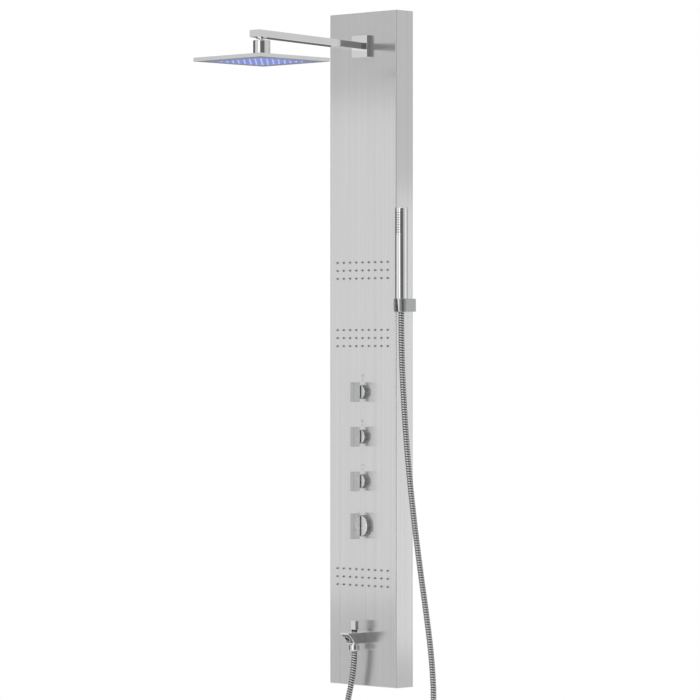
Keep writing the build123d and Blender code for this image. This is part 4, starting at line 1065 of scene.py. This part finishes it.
class SHOWER_OT_hose(bpy.types.Operator):
    """Wound steel hose from the handset's cone down in a loop and up to the spout"""

    bl_idname = "shower.hose"
    bl_label = "Hose"

    def execute(self, context):
        s = context.scene.shower_hose
        curve = bpy.data.curves.new("hose_line", "CURVE")
        curve.dimensions = "3D"
        curve.resolution_u = 64
        spline = curve.splines.new("NURBS")
        spline.points.add(len(HOSE_POINTS) - 1)
        for point, place in zip(spline.points, HOSE_POINTS):
            point.co = (*place, 1)
        spline.order_u = 3
        spline.use_endpoint_u = True
        line = bpy.data.objects.new("hose_line", curve)
        context.scene.collection.objects.link(line)
        context.view_layer.update()
        drawn = bpy.data.meshes.new_from_object(line)
        path = [vertex.co.copy() for vertex in drawn.vertices]
        bpy.data.objects.remove(line)
        bpy.data.meshes.remove(drawn)
        hose = self.wind(path, s)
        hose.data.materials.append(finishes["hose_steel"])
        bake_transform(hose)
        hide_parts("hose")
        return {"FINISHED"}

    def wind(self, path, s):
        """Tube along the path whose ribs wind round it; the groove's depth is kept as an attribute,
        from which the finish paints shade in the grooves.
        """
        lengths = [0.0]
        for a, b in zip(path, path[1:]):
            lengths.append(lengths[-1] + (b - a).length)
        per_rib, pinch = 6, 1.5
        count = round(lengths[-1] / s.pitch) * per_rib
        n = s.sides
        verts, faces, grooves = [], [], []
        side = Vector((0, 1, 0))
        at = 0
        for ring in range(count + 1):
            along = lengths[-1] * ring / count
            while at < len(path) - 2 and lengths[at + 1] < along:
                at += 1
            run = path[at + 1] - path[at]
            centre = path[at] + run * ((along - lengths[at]) / run.length)
            before, after = path[max(at - 1, 0)], path[min(at + 2, len(path) - 1)]
            ahead = (after - before).normalized()
            side = (side - ahead * side.dot(ahead)).normalized()
            across = ahead.cross(side)
            for i in range(n):
                angle = 2 * pi * i / n
                phase = (along / s.pitch + i / n) % 1.0
                dip = (0.5 + 0.5 * cos(2 * pi * phase)) ** pinch
                radius = s.radius - s.groove * dip
                verts.append(centre + radius * (cos(angle) * side + sin(angle) * across))
                grooves.append(dip)
        for ring in range(count):
            for i in range(n):
                j = (i + 1) % n
                faces.append((ring * n + i, ring * n + j, (ring + 1) * n + j, (ring + 1) * n + i))
        faces.append(tuple(reversed(range(n))))
        faces.append(tuple(range(count * n, (count + 1) * n)))
        mesh = bpy.data.meshes.new("shower_hose")
        mesh.from_pydata(verts, [], faces)
        mesh.attributes.new("groove", "FLOAT", "POINT").data.foreach_set("value", grooves)
        hose = bpy.data.objects.new("shower_hose", mesh)
        bpy.context.scene.collection.objects.link(hose)
        tidy(hose)
        bpy.ops.object.shade_smooth()
        return hose


class SHOWER_OT_inner_works(bpy.types.Operator):
    """Valve, jet boxes, tubes and fittings behind the casing"""

    bl_idname = "shower.inner_works"
    bl_label = "Inner works"

    def execute(self, context):
        paint("cast_brass", "valve_body", "arm_elbow", "spout_elbow", "back_nuts", "lock_nuts",
              "stop_1_cartridge", "stop_2_cartridge", "stop_3_cartridge", "mixer_cartridge")
        paint("tube_plastic", "rain_tube", "jet_tube_upper", "jet_tube_link", "jet_tube_lower",
              "spout_tube")
        paint("white_plastic", "jet_box_1", "jet_box_2", "jet_box_3")
        paint("black_rubber", "back_washers")
        return {"FINISHED"}


# Brightness round the column that glossy surfaces mirror, by degrees from the front to the right.
BANDS = (
    (-180, 0.2), (-150, 0.1), (-100, 0.05), (-64, 0.06), (-52, 0.36), (-44, 0.5), (-20, 0.5),
    (-6, 0.46), (1, 0.85), (19, 0.85), (26, 0.2), (36, 0.1), (76, 0.09), (88, 0.34), (102, 0.44),
    (150, 0.46), (163, 0.28), (180, 0.2),
)
# Name, place, width, height and watts of each lamp, and whether glossy surfaces mirror it.
LAMPS = (
    ("left_softbox", (-0.95, -1.02, 0.0), 0.9, 1.25, 1.05, True),
    ("right_softbox", (0.95, 1.0, -0.18), 0.8, 1.15, 1.1, True),
    ("top_softbox", (0.5, -1.3, 2.0), 1.2, 1.2, 4.0, True),
    ("side_softbox", (1.6, -0.55, 0.0), 0.8, 1.3, 3.0, False),
    ("strip_light", (0.72, -0.8, -0.22), 0.3, 0.64, 0.75, True),
)
LAMPS_AIM = Vector((0, -0.1, 0))


class SHOWER_OT_stage(bpy.types.Operator):
    """Pale floor, soft light and the camera"""

    bl_idname = "shower.stage"
    bl_label = "Stage"

    def execute(self, context):
        s = context.scene.shower_stage
        context.scene.view_settings.view_transform = "Standard"
        self.floor(s)
        self.surroundings(context.scene)
        self.lamps(context.scene)
        self.camera(context.scene, s)
        return {"FINISHED"}

    def floor(self, s):
        """Round floor under the hose."""
        radius, place = 1.35, (0, -0.1, cad_low.z - s.floor_drop)
        unpick()
        bpy.ops.mesh.primitive_circle_add(vertices=96, radius=radius, location=place, fill_type="NGON")
        floor = settle(named("floor"), place)
        matt_floor(s.floor_colour)
        floor.data.materials.append(finishes["floor"])

    def surroundings(self, scene):
        """White to the camera, even light on matt surfaces, light and dark bands in glossy ones."""
        world = bpy.data.worlds.new("studio")
        scene.world = world
        world.use_nodes = True
        mix = Mix(world.node_tree)
        x, y, z = mix.axes(mix.node("ShaderNodeTexCoord", output="Generated"))
        bearing = mix.node("ShaderNodeMath", {"operation": "ARCTAN2"}, {0: x, 1: -1.0 * y})
        bands = mix.ramp(bearing / (2 * pi) + 0.5, *[(0.5 + at / 360, level) for at, level in BANDS])
        tilt = mix.ramp(z.size(), (0.3, 0.0), (0.8, 1.0))
        band_strength = 1.65
        level = (1.0 - tilt) * bands * band_strength + tilt * (0.7 + 0.3 * z)
        rays = mix.node("ShaderNodeLightPath").socket.node.outputs
        camera, glossy = (Value(mix, rays[f"Is {kind} Ray"]) for kind in ("Camera", "Glossy"))
        plain = 0.9 + 0.1 * camera
        seen = plain + glossy * (level - plain)
        back = mix.node("ShaderNodeBackground", {}, {"Color": (1, 1, 1, 1), "Strength": seen})
        mix.node("ShaderNodeOutputWorld", {}, {"Surface": back})

    def lamps(self, scene):
        """Soft lamps round the column."""
        for name, place, wide, tall, power, mirrored in LAMPS:
            lamp = bpy.data.lights.new(name, "AREA")
            lamp.shape = "RECTANGLE"
            lamp.size, lamp.size_y = wide, tall
            lamp.energy = power
            holder = bpy.data.objects.new(name, lamp)
            holder.location = place
            holder.rotation_euler = (LAMPS_AIM - Vector(place)).to_track_quat("-Z", "Y").to_euler()
            holder.visible_camera = False
            holder.visible_glossy = mirrored
            scene.collection.objects.link(holder)

    def camera(self, scene, s):
        """Level camera in front of the column, to its right."""
        camera = bpy.data.cameras.new("camera")
        camera.lens = s.lens
        camera.sensor_width = 36
        camera.shift_x, camera.shift_y = s.shift
        eye = bpy.data.objects.new("camera", camera)
        eye.location = s.camera_place
        eye.rotation_euler = (radians(90), 0, s.camera_turn)
        scene.collection.objects.link(eye)
        scene.camera = eye


OPERATORS = (
    SHOWER_OT_casing, SHOWER_OT_jets, SHOWER_OT_rain_arm, SHOWER_OT_rain_head, SHOWER_OT_controls,
    SHOWER_OT_bath_spout, SHOWER_OT_handset, SHOWER_OT_hose, SHOWER_OT_inner_works, SHOWER_OT_stage,
)


class SHOWER_PT_column(bpy.types.Panel):
    """Sidebar panel that lists the column's operators"""

    bl_idname = "SHOWER_PT_column"
    bl_label = "Shower column"
    bl_space_type = "VIEW_3D"
    bl_region_type = "UI"
    bl_category = "Shower"

    def draw(self, context):
        for operator in OPERATORS:
            self.layout.operator(operator.bl_idname)


SETTINGS = {
    "shower_look": LookSettings,
    "shower_nozzles": NozzleSettings,
    "shower_metal": MetalSettings,
    "shower_hose": HoseSettings,
    "shower_stage": StageSettings,
}


def register():
    for group in SETTINGS.values():
        bpy.utils.register_class(group)
    for operator in OPERATORS:
        bpy.utils.register_class(operator)
    bpy.utils.register_class(SHOWER_PT_column)
    for name, group in SETTINGS.items():
        setattr(bpy.types.Scene, name, PointerProperty(type=group))


def unregister():
    for name in SETTINGS:
        delattr(bpy.types.Scene, name)
    bpy.utils.unregister_class(SHOWER_PT_column)
    for operator in reversed(OPERATORS):
        bpy.utils.unregister_class(operator)
    for group in reversed(SETTINGS.values()):
        bpy.utils.unregister_class(group)


def main():
    register()
    make_finishes(bpy.context.scene.shower_look, bpy.context.scene.shower_nozzles)
    bpy.ops.shower.casing()
    bpy.ops.shower.jets()
    bpy.ops.shower.rain_arm()
    bpy.ops.shower.rain_head()
    bpy.ops.shower.controls()
    bpy.ops.shower.bath_spout()
    bpy.ops.shower.handset()
    bpy.ops.shower.hose()
    bpy.ops.shower.inner_works()
    bpy.ops.shower.stage()


if __name__ == "__main__":
    main()
